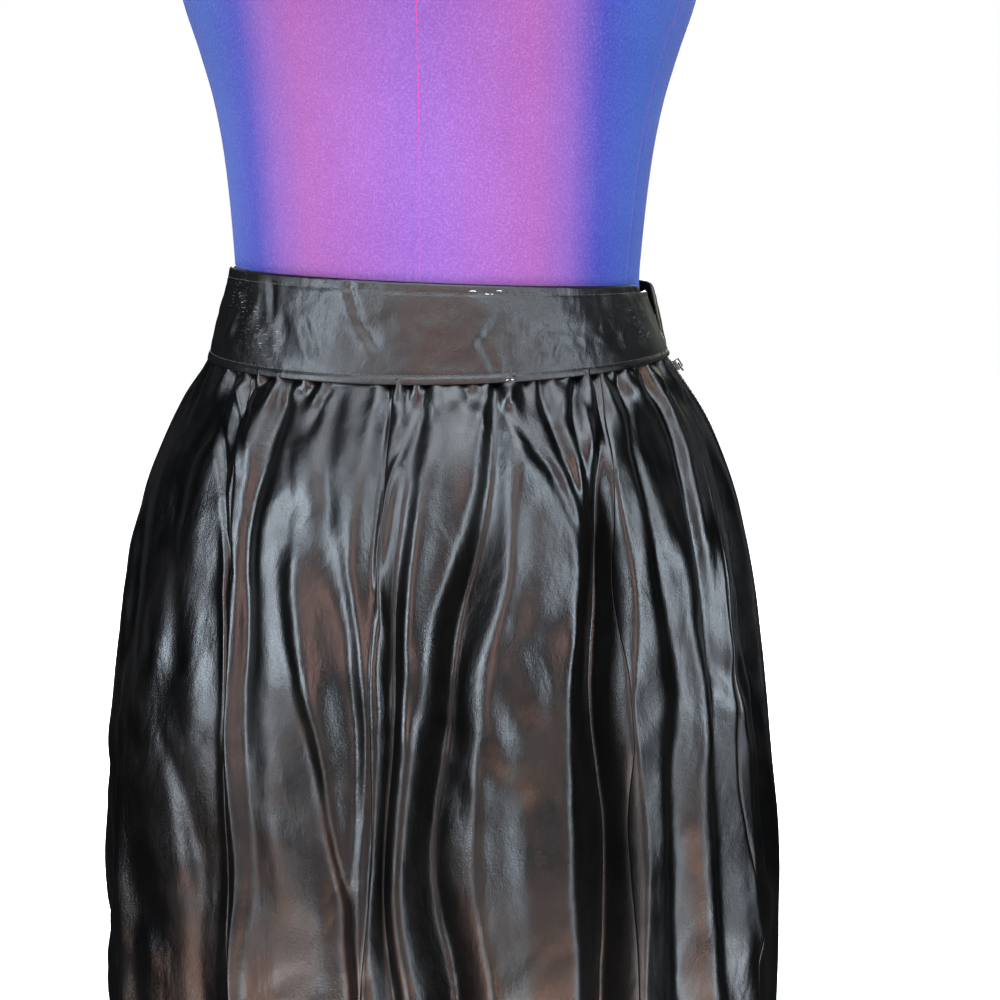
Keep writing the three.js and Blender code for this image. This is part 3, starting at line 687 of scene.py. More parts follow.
def scuffs_group(name):
    """A mask of short thin scuffed strokes that cross each other, inside a soft round area."""
    tree, given, result = new_tree(name, "ShaderNodeTree", (
        ("Along", "Vector"), ("Vector", "Vector"), ("Place", "Vector"), ("Reach", "Float", 0.016)),
        (("Mask", "Float"), ("Area", "Float")))
    strokes = 0.0
    for degrees, across in ((28, 2600), (-40, 2100), (75, 2400)):
        noise = add_noise(tree, stretched(tree, given["Along"], (150, across, 1), degrees), 1.0, 1.5)
        strokes = add_math(tree, "MAXIMUM", spread(tree, noise, 0.672, 0.74), strokes)
    away = add_node(
        tree, "ShaderNodeVectorMath", {0: given["Vector"], 1: given["Place"]}, operation="DISTANCE")
    share = add_math(tree, "DIVIDE", away.outputs["Value"], given["Reach"])
    inside = spread(tree, share, 1.0, 0.2, way="SMOOTHSTEP")
    tree.links.new(inside, result["Area"])
    tree.links.new(add_math(tree, "MULTIPLY", strokes, inside), result["Mask"])
    return tree


EFFECTS = {"Cloth weave": weave_group, "Cloth crumple": crumple_group, "Soft patches": patches_group,
           "Rubbed strokes": scuffs_group}


def use_effect(tree, name, vector, output=0, **values):
    """Places a shared effect, which is built when it is first used, with this material's values."""
    group = bpy.data.node_groups.get(name) or EFFECTS[name](name)
    return add_node(tree, "ShaderNodeGroup", {"Vector": vector, **values}, node_tree=group).outputs[output]


# ---- materials

def new_material(name, base, roughness, **constants):
    """A Principled material with its constant values on the shader's own sockets.

    Returns its tree, its shader's inputs, and its Object and UV coordinates.
    """
    material = bpy.data.materials.new(name)
    material.use_nodes = True
    tree = material.node_tree
    shader = tree.nodes["Principled BSDF"].inputs
    shader["Base Color"].default_value = (*base, 1)
    shader["Roughness"].default_value = roughness
    for label, value in constants.items():
        shader[label.replace("_", " ")].default_value = value
    where = tree.nodes.new("ShaderNodeTexCoord").outputs
    return tree, shader, where["Object"], where["UV"]


def satin_material(name, colour, crumple, gloss, scuffed=(), painted_light_spots=()):
    """Black satin: a smooth float-faced weave, softly crumpled, with pale strokes where scuffed. Its colour
    holds painted reflection, a warmer brown in the duller patches, and painted olive light in round areas at
    the given spots.
    """
    tree, shader, place, cloth = new_material(name, colour, 0.3, IOR=1.55)
    normal = None
    for size, length, share, depth in ((34, 0.45, 1, 0.004), (130, 0.6, 0.6, 0.0013), (1150, 1, 1.2, 0.0004)):
        height = use_effect(tree, "Cloth crumple", place, Size=size, Length=length)
        normal = add_bump(tree, height, crumple * share, depth, normal)
    weave = use_effect(tree, "Cloth weave", cloth, Threads=9000, Slub=0.6)
    tree.links.new(add_bump(tree, weave, 0.08, 0.00004, normal), shader["Normal"])
    duller_and_painted_reflection = use_effect(tree, "Soft patches", place, Size=16, Least=0.40, Most=0.66)
    tree.links.new(spread(tree, duller_and_painted_reflection, 0, 1, gloss, gloss + 0.14), shader["Roughness"])
    # Painted reflection: the duller patches are also painted a warmer brown, standing in for warm light
    # reflected in the satin.
    painted_warm_reflection = tuple(part * tint for part, tint in zip(colour, (1.9, 1.25, 1.0)))
    wear_and_painted_light_colour = mix_colours(tree, duller_and_painted_reflection, colour, painted_warm_reflection)
    for centre in scuffed:
        strokes = use_effect(tree, "Rubbed strokes", place, "Mask", Along=cloth, Place=centre, Reach=0.017)
        wear_and_painted_light_colour = mix_colours(tree, strokes, wear_and_painted_light_colour, (0.20, 0.20, 0.19))
    # Painted light: an olive tint painted in a soft round area near the band's closure end, standing in for
    # olive light falling there.
    for centre in painted_light_spots:
        area = use_effect(tree, "Rubbed strokes", place, "Area", Place=centre, Reach=0.042)
        wear_and_painted_light_colour = mix_colours(tree, area, wear_and_painted_light_colour, (0.045, 0.046, 0.037))
    tree.links.new(wear_and_painted_light_colour, shader["Base Color"])


def jersey_material(form):
    """The form's brushed jersey cover, with a thread line down each seam. Its blue turns magenta towards the
    middle of the front and back: painted warm light, laid on by distance from the middle.
    """
    tree, shader, place, cloth = new_material(
        "Form jersey", form.side_colour, 0.86, Sheen_Weight=0.10, Sheen_Roughness=0.5,
        Sheen_Tint=(0.75, 0.7, 1.0, 1))
    # Painted light: warm light painted on the middle of the front and back, fading out to the cover's own
    # blue at the sides.
    aside = add_math(tree, "ABSOLUTE", split(tree, place)[0])
    painted_light_ramp = add_node(tree, "ShaderNodeValToRGB", {0: aside})
    stops = painted_light_ramp.color_ramp.elements
    stops[0].color = (*form.middle_with_painted_light, 1)
    stops[1].position = 0.112
    stops[1].color = (*form.side_colour, 1)
    for reach, colour in (
            (0.060, form.blush_with_painted_light), (0.077, form.middle_with_painted_light), (0.094, form.between_with_painted_light)):
        stops.new(reach).color = (*colour, 1)
    blotches = use_effect(tree, "Soft patches", place, Size=7, Least=0.3, Most=0.75)
    faded = add_node(
        tree, "ShaderNodeHueSaturation", {"Value": 1.16, "Saturation": 0.9, "Color": painted_light_ramp.outputs[0]})
    tone = mix_colours(tree, blotches, painted_light_ramp.outputs[0], faded.outputs[0])
    lint = use_effect(tree, "Soft patches", place, Size=950, Least=0.46, Most=0.80)
    tone = mix_colours(tree, add_math(tree, "MULTIPLY", lint, 0.06), tone, (0.80, 0.62, 0.95))
    around, down, _ = split(tree, cloth)
    stitched = add_math(tree, "SINE", add_math(tree, "MULTIPLY", down, 1500.0))
    nearest = 1.0
    for seam in TORSO_SEAMS:
        gap = add_math(tree, "ABSOLUTE", add_math(tree, "SUBTRACT", around, seam / 360))
        nearest = add_math(tree, "MINIMUM", gap, nearest)
    thread = spread(tree, nearest, 0.00036, 0.00018)
    shown = add_math(tree, "MULTIPLY", thread, spread(tree, stitched, -0.75, -0.3))
    tree.links.new(mix_colours(tree, shown, tone, tuple(form.thread_colour)), shader["Base Color"])
    nap = use_effect(tree, "Cloth crumple", place, Size=900, Length=0.8)
    knit = use_effect(tree, "Cloth weave", place, Threads=5200, Slub=1)
    normal = add_bump(tree, nap, 0.5, 0.0006)
    tree.links.new(add_bump(tree, knit, 0.25, 0.0002, normal), shader["Normal"])


def woven_material(name, base, roughness, threads, slub, on_cloth, bump, patches, worn, **constants):
    """Sewing thread or zip tape: twisted or woven, and worn between two colours."""
    tree, shader, place, cloth = new_material(name, base, roughness, **constants)
    weave = use_effect(tree, "Cloth weave", cloth if on_cloth else place, Threads=threads, Slub=slub)
    tree.links.new(add_bump(tree, weave, *bump), shader["Normal"])
    size, least, most = patches
    mask = use_effect(tree, "Soft patches", place, Size=size, Least=least, Most=most)
    tree.links.new(mix_colours(tree, mask, *worn), shader["Base Color"])


def hard_material(name, colour, worn_colour, roughness, worn_roughness, metallic=0.0, grain=1.0):
    """Metal, enamel, wood or thread, with its colour and gloss uneven where it is handled."""
    tree, shader, place, _ = new_material(name, colour, roughness, Metallic=metallic)
    along = stretched(tree, place, (1.0, grain, 1.0))
    worn = use_effect(tree, "Soft patches", along, Size=22, Least=0.42, Most=0.7)
    tree.links.new(mix_colours(tree, worn, colour, worn_colour), shader["Base Color"])
    tree.links.new(spread(tree, worn, 0, 1, roughness, worn_roughness), shader["Roughness"])
    fine = use_effect(tree, "Cloth crumple", place, Size=600, Length=1)
    tree.links.new(add_bump(tree, fine, 0.12, 0.0002), shader["Normal"])


# Where the band is scuffed, and where olive light is painted on it: turns, and shares of its height.
SCUFFED = ((-48, 0.5), (-56, 0.75), (-40, 0.35), (64, 0.55), (70, 0.45))
PAINTED_LIGHT_SPOTS = ((86, 0.5),)


def make_finishes():
    """The finishes, made once for all the pieces."""
    if "Black satin" in bpy.data.materials:
        return
    satin = tuple(bpy.context.scene.skirt_sizes.satin_colour)
    satin_material("Black satin", satin, 0.30, 0.28)
    scuffed, painted_light_spots = ([band_place(*spot) for spot in spots] for spots in (SCUFFED, PAINTED_LIGHT_SPOTS))
    # The band's satin: real scuffs, and painted olive light near the closure.
    satin_material("Black satin, handled, painted light", satin, 0.45, 0.35, scuffed, painted_light_spots)
    jersey_material(bpy.context.scene.form_colours)
    woven_material("Black sewing thread", (0.035, 0.036, 0.04), 0.55, 16000, 0.8, False, (0.5, 0.0001),
                   (60, 0.4, 0.7), ((0.028, 0.029, 0.033), (0.06, 0.058, 0.055)), Sheen_Weight=0.25)
    woven_material("Woven zip tape", (0.02, 0.02, 0.023), 0.8, 7000, 0.3, True, (0.6, 0.0003),
                   (40, 0.35, 0.7), ((0.016, 0.016, 0.018), (0.035, 0.034, 0.034)))
    hard_material("Pale tacking thread", (0.62, 0.60, 0.55), (0.42, 0.40, 0.36), 0.8, 0.9)
    hard_material("Dark zip metal", (0.10, 0.10, 0.105), (0.28, 0.27, 0.26), 0.28, 0.5, 1.0)
    hard_material("Turned wood", (0.24, 0.115, 0.05), (0.36, 0.19, 0.09), 0.42, 0.56, 0.0, 9.0)
    hard_material("Black pole enamel", (0.018, 0.018, 0.02), (0.05, 0.048, 0.046), 0.3, 0.48)
    hard_material("Black foot enamel", (0.02, 0.02, 0.022), (0.06, 0.058, 0.055), 0.38, 0.6)


# ---- the waistband

def band_relief(turn, up):
    """How far the band's outer face stands out from its plain shape: its ledge, creases and ripples."""
    height = up * BAND_DEPTH
    millimetres = per_degree(turn, BAND["bottom_width"], BAND["bottom_depth"])
    out = BAND["ledge_out"] * (1 - smoothstep(height, BAND["ledge"] - 0.5, BAND["ledge"] + 0.4))
    for line in STITCH_LINES:
        out = out - BAND["line_depth"] * bell(height, BAND["line_half"], line)
    for crease in BAND_CREASES:
        x = between(turn, crease["turn"]) * millimetres
        y = (up - crease["up"]) * BAND_DEPTH
        along = np.array([between(crease["to_turn"], crease["turn"]) * BAND["per_degree"],
                          (crease["to_up"] - crease["up"]) * BAND_DEPTH])
        length = np.linalg.norm(along)
        along = along / length
        share = (x * along[0] + y * along[1]) / length
        aside = (x * along[1] - y * along[0]) / crease["half"]
        fade = smoothstep(share, -0.15, 0.25) * (1 - smoothstep(share, 0.75, 1.15))
        out = out - crease["depth"] * fade * (bell(aside) - 0.45 * bell(aside, 0.9, 1.7))
    held = smoothstep(up, 0.08, 0.25) * (1 - 0.7 * smoothstep(up, 0.86, 0.97))
    for ripple in BAND_RIPPLES:
        out = out + ripple["out"] * held * swells(turn, height, ripple)
    wave = BAND_TOP_WAVE["out"] * swells(turn, np.zeros_like(height), BAND_TOP_WAVE)
    return out + wave * smoothstep(up, 0.7, 1.0)


def band_points(turn, up, out):
    """Points on the band, out from its plain face. Its ends stand off the body towards the top."""
    past = between(turn, CLOSURE_TURN)
    off = np.where(past >= 0, BAND["off_back"], BAND["off_front"]) * up * bell(past, BAND["off_degrees"])
    from_dip = np.where(past < 0, np.minimum(past + BAND["dip_front"], 0), past)
    low = BAND_BOTTOM + seam_rise(turn)
    high = BAND_TOP - BAND["top_tilt"] * np.sin(np.radians(turn)) - BAND["dip"] * bell(
        from_dip, BAND["dip_degrees"])
    return on_ellipse(turn, lerp(BAND["bottom_width"], BAND["top_width"], up),
                      lerp(BAND["bottom_depth"], BAND["top_depth"], up), lerp(low, high, up), off + out)


def band_place(turn, up):
    """A point on the band's plain outer face, in metres."""
    return tuple(float(part) * MM for part in band_points(np.array(float(turn)), up, 0.0))


def band_section():
    """The band's closed section: down the outer face, round the bottom, up behind and over the top.

    Returns the share of the height, and how far behind the outer face.
    """
    radius = BAND["wall"] / 2
    inset = radius / BAND_DEPTH
    down = np.linspace(1 - inset, inset, BAND["face_rows"])
    up_behind = np.linspace(inset, 1 - inset, BAND["back_rows"])
    arc = np.linspace(0, math.pi, BAND["edge_rows"] + 2)[1:-1]
    up = np.concatenate([down, inset - inset * np.sin(arc), up_behind, 1 - inset + inset * np.sin(arc)])
    behind = np.concatenate([np.zeros_like(down), radius - radius * np.cos(arc),
                             np.full_like(up_behind, 2 * radius), radius + radius * np.cos(arc)])
    return up[:, None], behind[:, None]


def build_waistband():
    up, behind = band_section()
    shares = crowded(BAND["columns"], BAND["crowding"])
    parted = BAND["end_gap"] + BAND["notch"] * up ** 2
    turn = CLOSURE_TURN + lerp(parted, 360 - parted, shares[None, :])
    height = np.broadcast_to(up, turn.shape)
    relief = band_relief(turn, height) * (1 - behind / BAND["wall"])
    points = band_points(turn, height, relief - behind)
    rows, columns = turn.shape
    faces = grid_faces(rows, columns, round_rows=True)
    faces.append(tuple(r * columns for r in reversed(range(rows))))
    faces.append(tuple(r * columns + columns - 1 for r in range(rows)))
    piece = make_piece("satin_waistband", points, faces, grid_uvs(points))
    finish_piece(piece, "Black satin, handled, painted light", stands_for="waistband")


def finish_hook():
    for node in ("waist_hook", "waist_bar"):
        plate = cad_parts[node]
        plate.data.materials.clear()
        plate.data.materials.append(bpy.data.materials["Dark zip metal"])


# ---- the skirt's panels

def panel_grid(index):
    """The turns, drops and distances to the nearer seam of one panel's points."""
    ahead = (index + 1) % len(PANELS)
    drops = cloth_rows()
    start = eased(LEVELS, PANELS[index]["turns"], drops)
    stop = eased(LEVELS, PANELS[ahead]["turns"], drops) + (0 if ahead else 360)
    half_width, half_depth = outline(drops)
    open_zip = ZIP["parting"] * (1 - smoothstep(drops, ZIP["length"] - ZIP["closes"], ZIP["length"]))
    for edge, side in ((start, 1), (stop, -1)):
        gap = open_zip if np.allclose(edge, CLOSURE_TURN) else 0.0
        edge += side * (PANEL_GAP + gap) / per_degree(edge, half_width, half_depth)
    turn = lerp(start[:, None], stop[:, None], crowded(PANELS[index]["columns"])[None, :])
    drop = np.broadcast_to(drops[:, None], turn.shape)
    millimetres = per_degree(turn, half_width[:, None], half_depth[:, None])
    nearer = np.minimum(turn - start[:, None], stop[:, None] - turn)
    return turn, drop, nearer * millimetres


def rolled(points, drop):
    """The cloth's stiffness rolls its creases over, but not where the band or the hem holds them."""
    held = smoothstep(drop, *ROLL["free"]) * (1 - smoothstep(drop, *ROLL["held"]))
    share = ROLL["share"] * held[:, 1:-1, None]
    for _ in range(ROLL["times"]):
        points[:, 1:-1] = lerp(points[:, 1:-1], (points[:, :-2] + points[:, 2:]) / 2, share)
    return points


def build_panels():
    for index, panel in enumerate(PANELS):
        turn, drop, from_seam = panel_grid(index)
        points = rolled(skirt_surface(turn, drop, from_seam), drop)
        piece = make_piece("satin_" + panel["name"], points, grid_faces(*turn.shape), grid_uvs(points))
        thicken(piece, CLOTH_WALL)
        finish_piece(piece, "Black satin", stands_for="panel_" + panel["name"])


# ---- what repeats: stitches and teeth

def repeating_tree(name, inputs, shape):
    """A tree that repeats a shape along a path, a pitch apart. shape(tree, given, spaced) returns
    the shape's mesh and the inputs that turn and size each one."""
    tree, given, result = new_tree(
        name, "GeometryNodeTree", (("Path", "Geometry"), *inputs, ("Finish", "Material")),
        (("Geometry", "Geometry"),))
    curve = add_node(tree, "GeometryNodeMeshToCurve", {0: given["Path"]}).outputs[0]
    spaced = add_node(
        tree, "GeometryNodeCurveToPoints", {"Curve": curve, "Length": given["Pitch"]}, mode="LENGTH").outputs
    mesh, more = shape(tree, given, spaced)
    placed = add_node(tree, "GeometryNodeInstanceOnPoints", {
        "Points": spaced["Points"], "Instance": mesh, **more}).outputs["Instances"]
    real = add_node(tree, "GeometryNodeRealizeInstances", {0: placed}).outputs[0]
    finished = add_node(tree, "GeometryNodeSetMaterial", {"Geometry": real, "Material": given["Finish"]})
    tree.links.new(finished.outputs[0], result[0])
    return tree


def stitch_shape(tree, given, spaced):
    """A short rounded length of thread, a little uneven."""
    bead = add_node(tree, "GeometryNodeMeshUVSphere", {"Segments": 6, "Rings": 4, "Radius": 1.0})
    size = joined(tree, given["Thread"], given["Thread"], given["Stitch"])
    shaped = add_node(tree, "GeometryNodeTransform", {"Geometry": bead.outputs["Mesh"], "Scale": size})
    uneven = add_node(tree, "FunctionNodeRandomValue", {
        "Min": (0.85, 0.85, 0.86), "Max": (1.1, 1.1, 1.08), "Seed": given["Seed"]}, data_type="FLOAT_VECTOR")
    return shaped.outputs[0], {"Rotation": spaced["Rotation"], "Scale": uneven.outputs["Value"]}


def tooth_shape(tree, given, spaced):
    """A zip tooth, turned to face outwards."""
    size = joined(tree, given["Depth"], given["Width"], given["Height"])
    tooth = add_node(tree, "GeometryNodeMeshCube", {"Size": size})
    facing = add_node(tree, "FunctionNodeAlignRotationToVector", {
        "Rotation": spaced["Rotation"], "Vector": given["Facing"]}, axis="X", pivot_axis="Z")
    return tooth.outputs["Mesh"], {"Rotation": facing.outputs[0]}


def along_paths(name, tree, paths, material, slot, **values):
    """A finished plain mesh of what the tree repeats along these paths of points in millimetres."""
    edges = []
    first = 0
    for path in paths:
        edges += [(first + i, first + i + 1) for i in range(len(path) - 1)]
        first += len(path)
    line = bpy.data.meshes.new(name + "_path")
    line.from_pydata((np.concatenate(paths) * MM).tolist(), edges, [])
    carrier = link(name + "_path", line)
    modifier = carrier.modifiers.new("Repeat", "NODES")
    modifier.node_group = tree
    sockets = {item.name: item.identifier for item in tree.interface.items_tree if item.in_out == "INPUT"}
    for label, value in {**values, "Finish": bpy.data.materials[material]}.items():
        modifier[sockets[label]] = value
    bpy.context.view_layer.update()
    seen = carrier.evaluated_get(bpy.context.evaluated_depsgraph_get())
    mesh = bpy.data.meshes.new_from_object(seen)
    bpy.data.objects.remove(carrier)
    if not mesh.polygons:
        raise RuntimeError(f"{name} came out empty")
    mesh.name = name
    finish_piece(link(name, mesh), material)


def band_line(height):
    """A line of stitches round the band's outer face at this height on it."""
    up = height / BAND_DEPTH
    parted = BAND["end_gap"] + BAND["notch"] * up ** 2 + BAND["stitch_gap"]
    turn = np.linspace(CLOSURE_TURN + parted, CLOSURE_TURN + 360 - parted, BAND["stitch_points"])
    up = np.full_like(turn, up)
    return band_points(turn, up, band_relief(turn, up) + STITCH_LIFT)


def cloth_line(turn, drop, lift=STITCH_LIFT):
    """Points on the cloth's outer face at these turns and drops, lifted off it."""
    reach = 0.3
    aside = skirt_surface(turn + reach, drop) - skirt_surface(turn - reach, drop)
    below = skirt_surface(turn, drop + reach) - skirt_surface(turn, drop - reach)
    outward = np.cross(below, aside)
    return skirt_surface(turn, drop) + lift * outward / np.linalg.norm(outward, axis=-1, keepdims=True)


def beside_zip(across, drop, lift=STITCH_LIFT):
    """Points on the cloth this far across from the closure, in millimetres."""
    return cloth_line(CLOSURE_TURN + across / per_degree(CLOSURE_TURN, *outline(drop)), drop, lift)


def build_stitches():
    sizes = bpy.context.scene.skirt_sizes
    tree = repeating_tree("Row of stitches", (
        ("Pitch", "Float", 0.0028), ("Thread", "Float", 0.00022), ("Stitch", "Float", 0.0011),
        ("Seed", "Int", 4)), stitch_shape)
    turn = np.linspace(*HEM_STITCHES["turns"], HEM_STITCHES["points"])
    drop = np.linspace(ZIP["teeth_top"], ZIP["length"] + ZIP["teeth_top"], ZIP["points"])
    lines = {
        "stitches_band": [band_line(height) for height in STITCH_LINES],
        "stitches_hem": [cloth_line(turn, np.full_like(turn, HEM_STITCHES["drop"]))],
        "stitches_zip": [beside_zip(side * ZIP["stitched_at"], drop) for side in (-1, 1)],
    }
    for name, paths in lines.items():
        along_paths(name, tree, paths, "Black sewing thread", "satin", Pitch=sizes.stitch_pitch,
                    Stitch=sizes.stitch_pitch * 0.4, Seed=sizes.stitch_seed)
    build_thread_ends()


def build_thread_ends():
    """The pale ends of thread: six-sided, bent, and flattened against the band."""
    rings, sides = THREAD["rings"], THREAD["sides"]
    share = np.linspace(-0.5, 0.5, rings)
    angle = np.linspace(0, 2 * math.pi, sides, endpoint=False)
    ring = THREAD["radius"] * np.stack(
        [THREAD["flat"] * np.sin(angle), np.cos(angle), np.sin(angle)], axis=-1)
    points = []
    faces = []
    for end in THREAD_ENDS:
        turn = end["turn"] + share * end["length"] / BAND["per_degree"]
        up = end["up"] + end["bend"] * (0.25 - share ** 2) / BAND_DEPTH
        middle = band_points(turn, up, band_relief(turn, up) + THREAD["lift"])
        first = len(points)
        points += list((middle[:, None] + ring).reshape(-1, 3))
        faces += [tuple(first + corner for corner in (a, d, c, b))
                  for a, b, c, d in grid_faces(rings, sides, round_columns=True)]
        faces.append(tuple(first + c for c in reversed(range(sides))))
        faces.append(tuple(len(points) - sides + c for c in range(sides)))
    finish_piece(make_piece("thread_ends", points, faces), "Pale tacking thread")


# ---- the zip

def build_zip():
    rows, columns = ZIP["rows"], ZIP["columns"]
    behind = -(CLOTH_WALL + ZIP["behind"])
    across = np.linspace(-ZIP["tape_width"] / 2, ZIP["tape_width"] / 2, columns)
    drops = np.linspace(ZIP["tape_top"], ZIP["length"], rows)
    points = beside_zip(*np.broadcast_arrays(across, drops[:, None]), behind)
    tape = make_piece("zip_tape_woven", points, grid_faces(rows, columns), grid_uvs(points))
    thicken(tape, ZIP["tape_wall"])
    finish_piece(tape, "Woven zip tape", stands_for="zip_tape")
    tree = repeating_tree("Row of zip teeth", (
        ("Pitch", "Float", 0.0015), ("Width", "Float", 0.0020), ("Height", "Float", 0.0008),
        ("Depth", "Float", 0.0013), ("Facing", "Vector", (1.0, 0.0, 0.0))), tooth_shape)
    teeth = []
    for side in (-1, 1):
        shift = 0.25 * ZIP["tooth"] * side
        drop = shift + np.linspace(ZIP["teeth_top"], ZIP["length"] - ZIP["teeth_end"], ZIP["points"])
        aside = np.full_like(drop, ZIP["teeth_apart"] * side)
        teeth.append(beside_zip(aside, drop, behind) + np.array([ZIP["teeth_out"], 0, 0]))
    along_paths("zip_teeth", tree, teeth, "Dark zip metal", "metal", Pitch=ZIP["tooth"] * MM)
    slider = smoothed_copy("zip_slider_cast", "zip_slider")
    edge = slider.modifiers.new("Rounded edges", "BEVEL")
    edge.width = SLIDER_EDGE * MM
    edge.segments = 3
    finish_piece(slider, "Dark zip metal", stands_for="zip_slider")
    ring = smoothed_copy("zip_ring_wire", "zip_pull")
    finer = ring.modifiers.new("Round wire", "SUBSURF")
    finer.levels = 2
    finer.render_levels = 2
    ring.data.polygons.foreach_set("use_smooth", [True] * len(ring.data.polygons))
    finish_piece(ring, "Dark zip metal", RING_BODY, "zip_pull")


def smoothed_copy(name, node):
    """A copy of a CAD node, its points merged and its flat faces joined."""
    mesh = bpy.data.meshes.new(name)
    merged(mesh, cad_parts[node].data, 1e-6, flatten=0.01)
    mesh.materials.clear()
    return link(name, mesh)


# ---- the dress form and its stand

def torso_points():
    """The torso's rings, with the seams of its cover sunk in."""
    seams = np.array(TORSO_SEAMS + (TORSO_SEAMS[0] + 360,), float)
    shares = crowded(TORSO_ROWS["between_seams"])[:-1]
    turn = np.concatenate([lerp(a, b, shares) for a, b in zip(seams, seams[1:])])
    base, top, shoulder = TORSO["rise"][0], TORSO["rise"][-1], TORSO_ROWS["shoulder"]
    rises = np.concatenate([np.linspace(top, shoulder, TORSO_ROWS["above"], endpoint=False),
                            np.linspace(shoulder, base, TORSO_ROWS["below"])])
    turn, rise = np.meshgrid(turn, rises)
    half_width, front, back = (
        eased(TORSO["rise"], TORSO[part], rise) for part in ("half_width", "front", "back"))
    half_depth = np.where(np.cos(np.radians(turn)) > 0, front, back)
    away = np.abs(between(turn[..., None], np.array(TORSO_SEAMS))).min(axis=-1)
    out = seam_relief(away * per_degree(turn, half_width, half_depth), TORSO_SEAM)
    out -= TORSO_EDGE["bottom"] * (1 - smoothstep(rise, base, base + TORSO_EDGE["run"]))
    out -= TORSO_EDGE["top"] * smoothstep(rise, top - TORSO_EDGE["run"], top)
    points = on_ellipse(turn, half_width, half_depth, BAND_TOP + rise, out)
    points[..., 0] += TORSO_LEAN * np.maximum(rise, 0)
    return turn, points


def build_form():
    turn, points = torso_points()
    rows, columns = turn.shape
    wrapped = np.concatenate([points, points[:, :1]], axis=1)
    uvs = grid_uvs(wrapped)
    uvs[..., 0] = np.concatenate([turn, turn[:, :1] + 360], axis=1) / 360
    faces = grid_faces(rows, columns + 1)
    faces.append(tuple(reversed(range(columns))))
    faces.append(tuple((rows - 1) * (columns + 1) + c for c in range(columns)))
    cover = make_piece("torso_cover", wrapped, faces, uvs)
    merged(cover.data, cover.data, 1e-7)
    finish_piece(cover, "Form jersey", stands_for="form_torso")
    cap = NECK_CAP
    base = BAND_TOP + TORSO["rise"][-1] + STAND["touch"]
    start = math.radians(cap["knob_start"])
    middle = cap["thick"] + cap["stem_height"] - cap["knob_radius"] * math.sin(start)
    knob = [(cap["knob_radius"] * math.cos(a), middle + cap["knob_radius"] * math.sin(a))
            for a in np.linspace(start, math.pi / 2, 20)]
    plate = rounded([(0, 0), (cap["radius"], 0), (cap["radius"], cap["thick"]),
                     (cap["stem_radius"], cap["thick"]), knob[0]], cap["edge"])
    profile = [(radius, height + base) for radius, height in plate[:-1] + knob[:-1] + [(0, knob[-1][1])]]
    top = turned("neck_cap_turned", profile)
    for point in top.data.vertices:
        point.co.x += TORSO_LEAN * TORSO["rise"][-1] * MM
    finish_piece(top, "Turned wood", stands_for="form_neck_cap")


def build_stand():
    s = STAND
    top = BAND_TOP + TORSO["rise"][0] - s["touch"]
    pole = turned("stand_pole_tube", rounded([
        (0, s["socket_floor"] + s["touch"]), (s["pole_radius"], s["socket_floor"] + s["touch"]),
        (s["pole_radius"], top - s["flange_thick"]), (s["flange_radius"], top - s["flange_thick"]),
        (s["flange_radius"], top), (0, top)], 1.5))
    finish_piece(pole, "Black pole enamel", stands_for="stand_pole")
    socket = s["pole_radius"] + s["fit"]
    foot = turned("stand_foot_cast", rounded([
        (0, 0), (s["foot_radius"] - 2, 0), (s["foot_radius"], 2), (s["foot_radius"], s["foot_edge"]),
        (s["boss_radius"] + 6, s["foot_centre"]), (s["boss_radius"], s["foot_centre"] + 6),
        (s["boss_radius"], s["boss_height"]), (socket, s["boss_height"]), (socket, s["socket_floor"]),
        (0, s["socket_floor"])], 2.0), 128)
    finish_piece(foot, "Black foot enamel", stands_for="stand_foot")


# ---- the stage

CONTRAST_GAMMA = 0.66
CAMERA = {"distance": 0.700, "height": 1.0738, "round": 6.0, "down": 14.0, "aside": 3.05, "lens": 41.08}
FLOOR_SIDE = 14.0

WINDOW = (0.84, 0.92, 1.0)
POOL = (0.86, 0.93, 1.0)
SKY = (0.88, 0.94, 1.0)
RIM = (0.9, 0.95, 1.0)
OLIVE = (1.0, 1.0, 0.84)
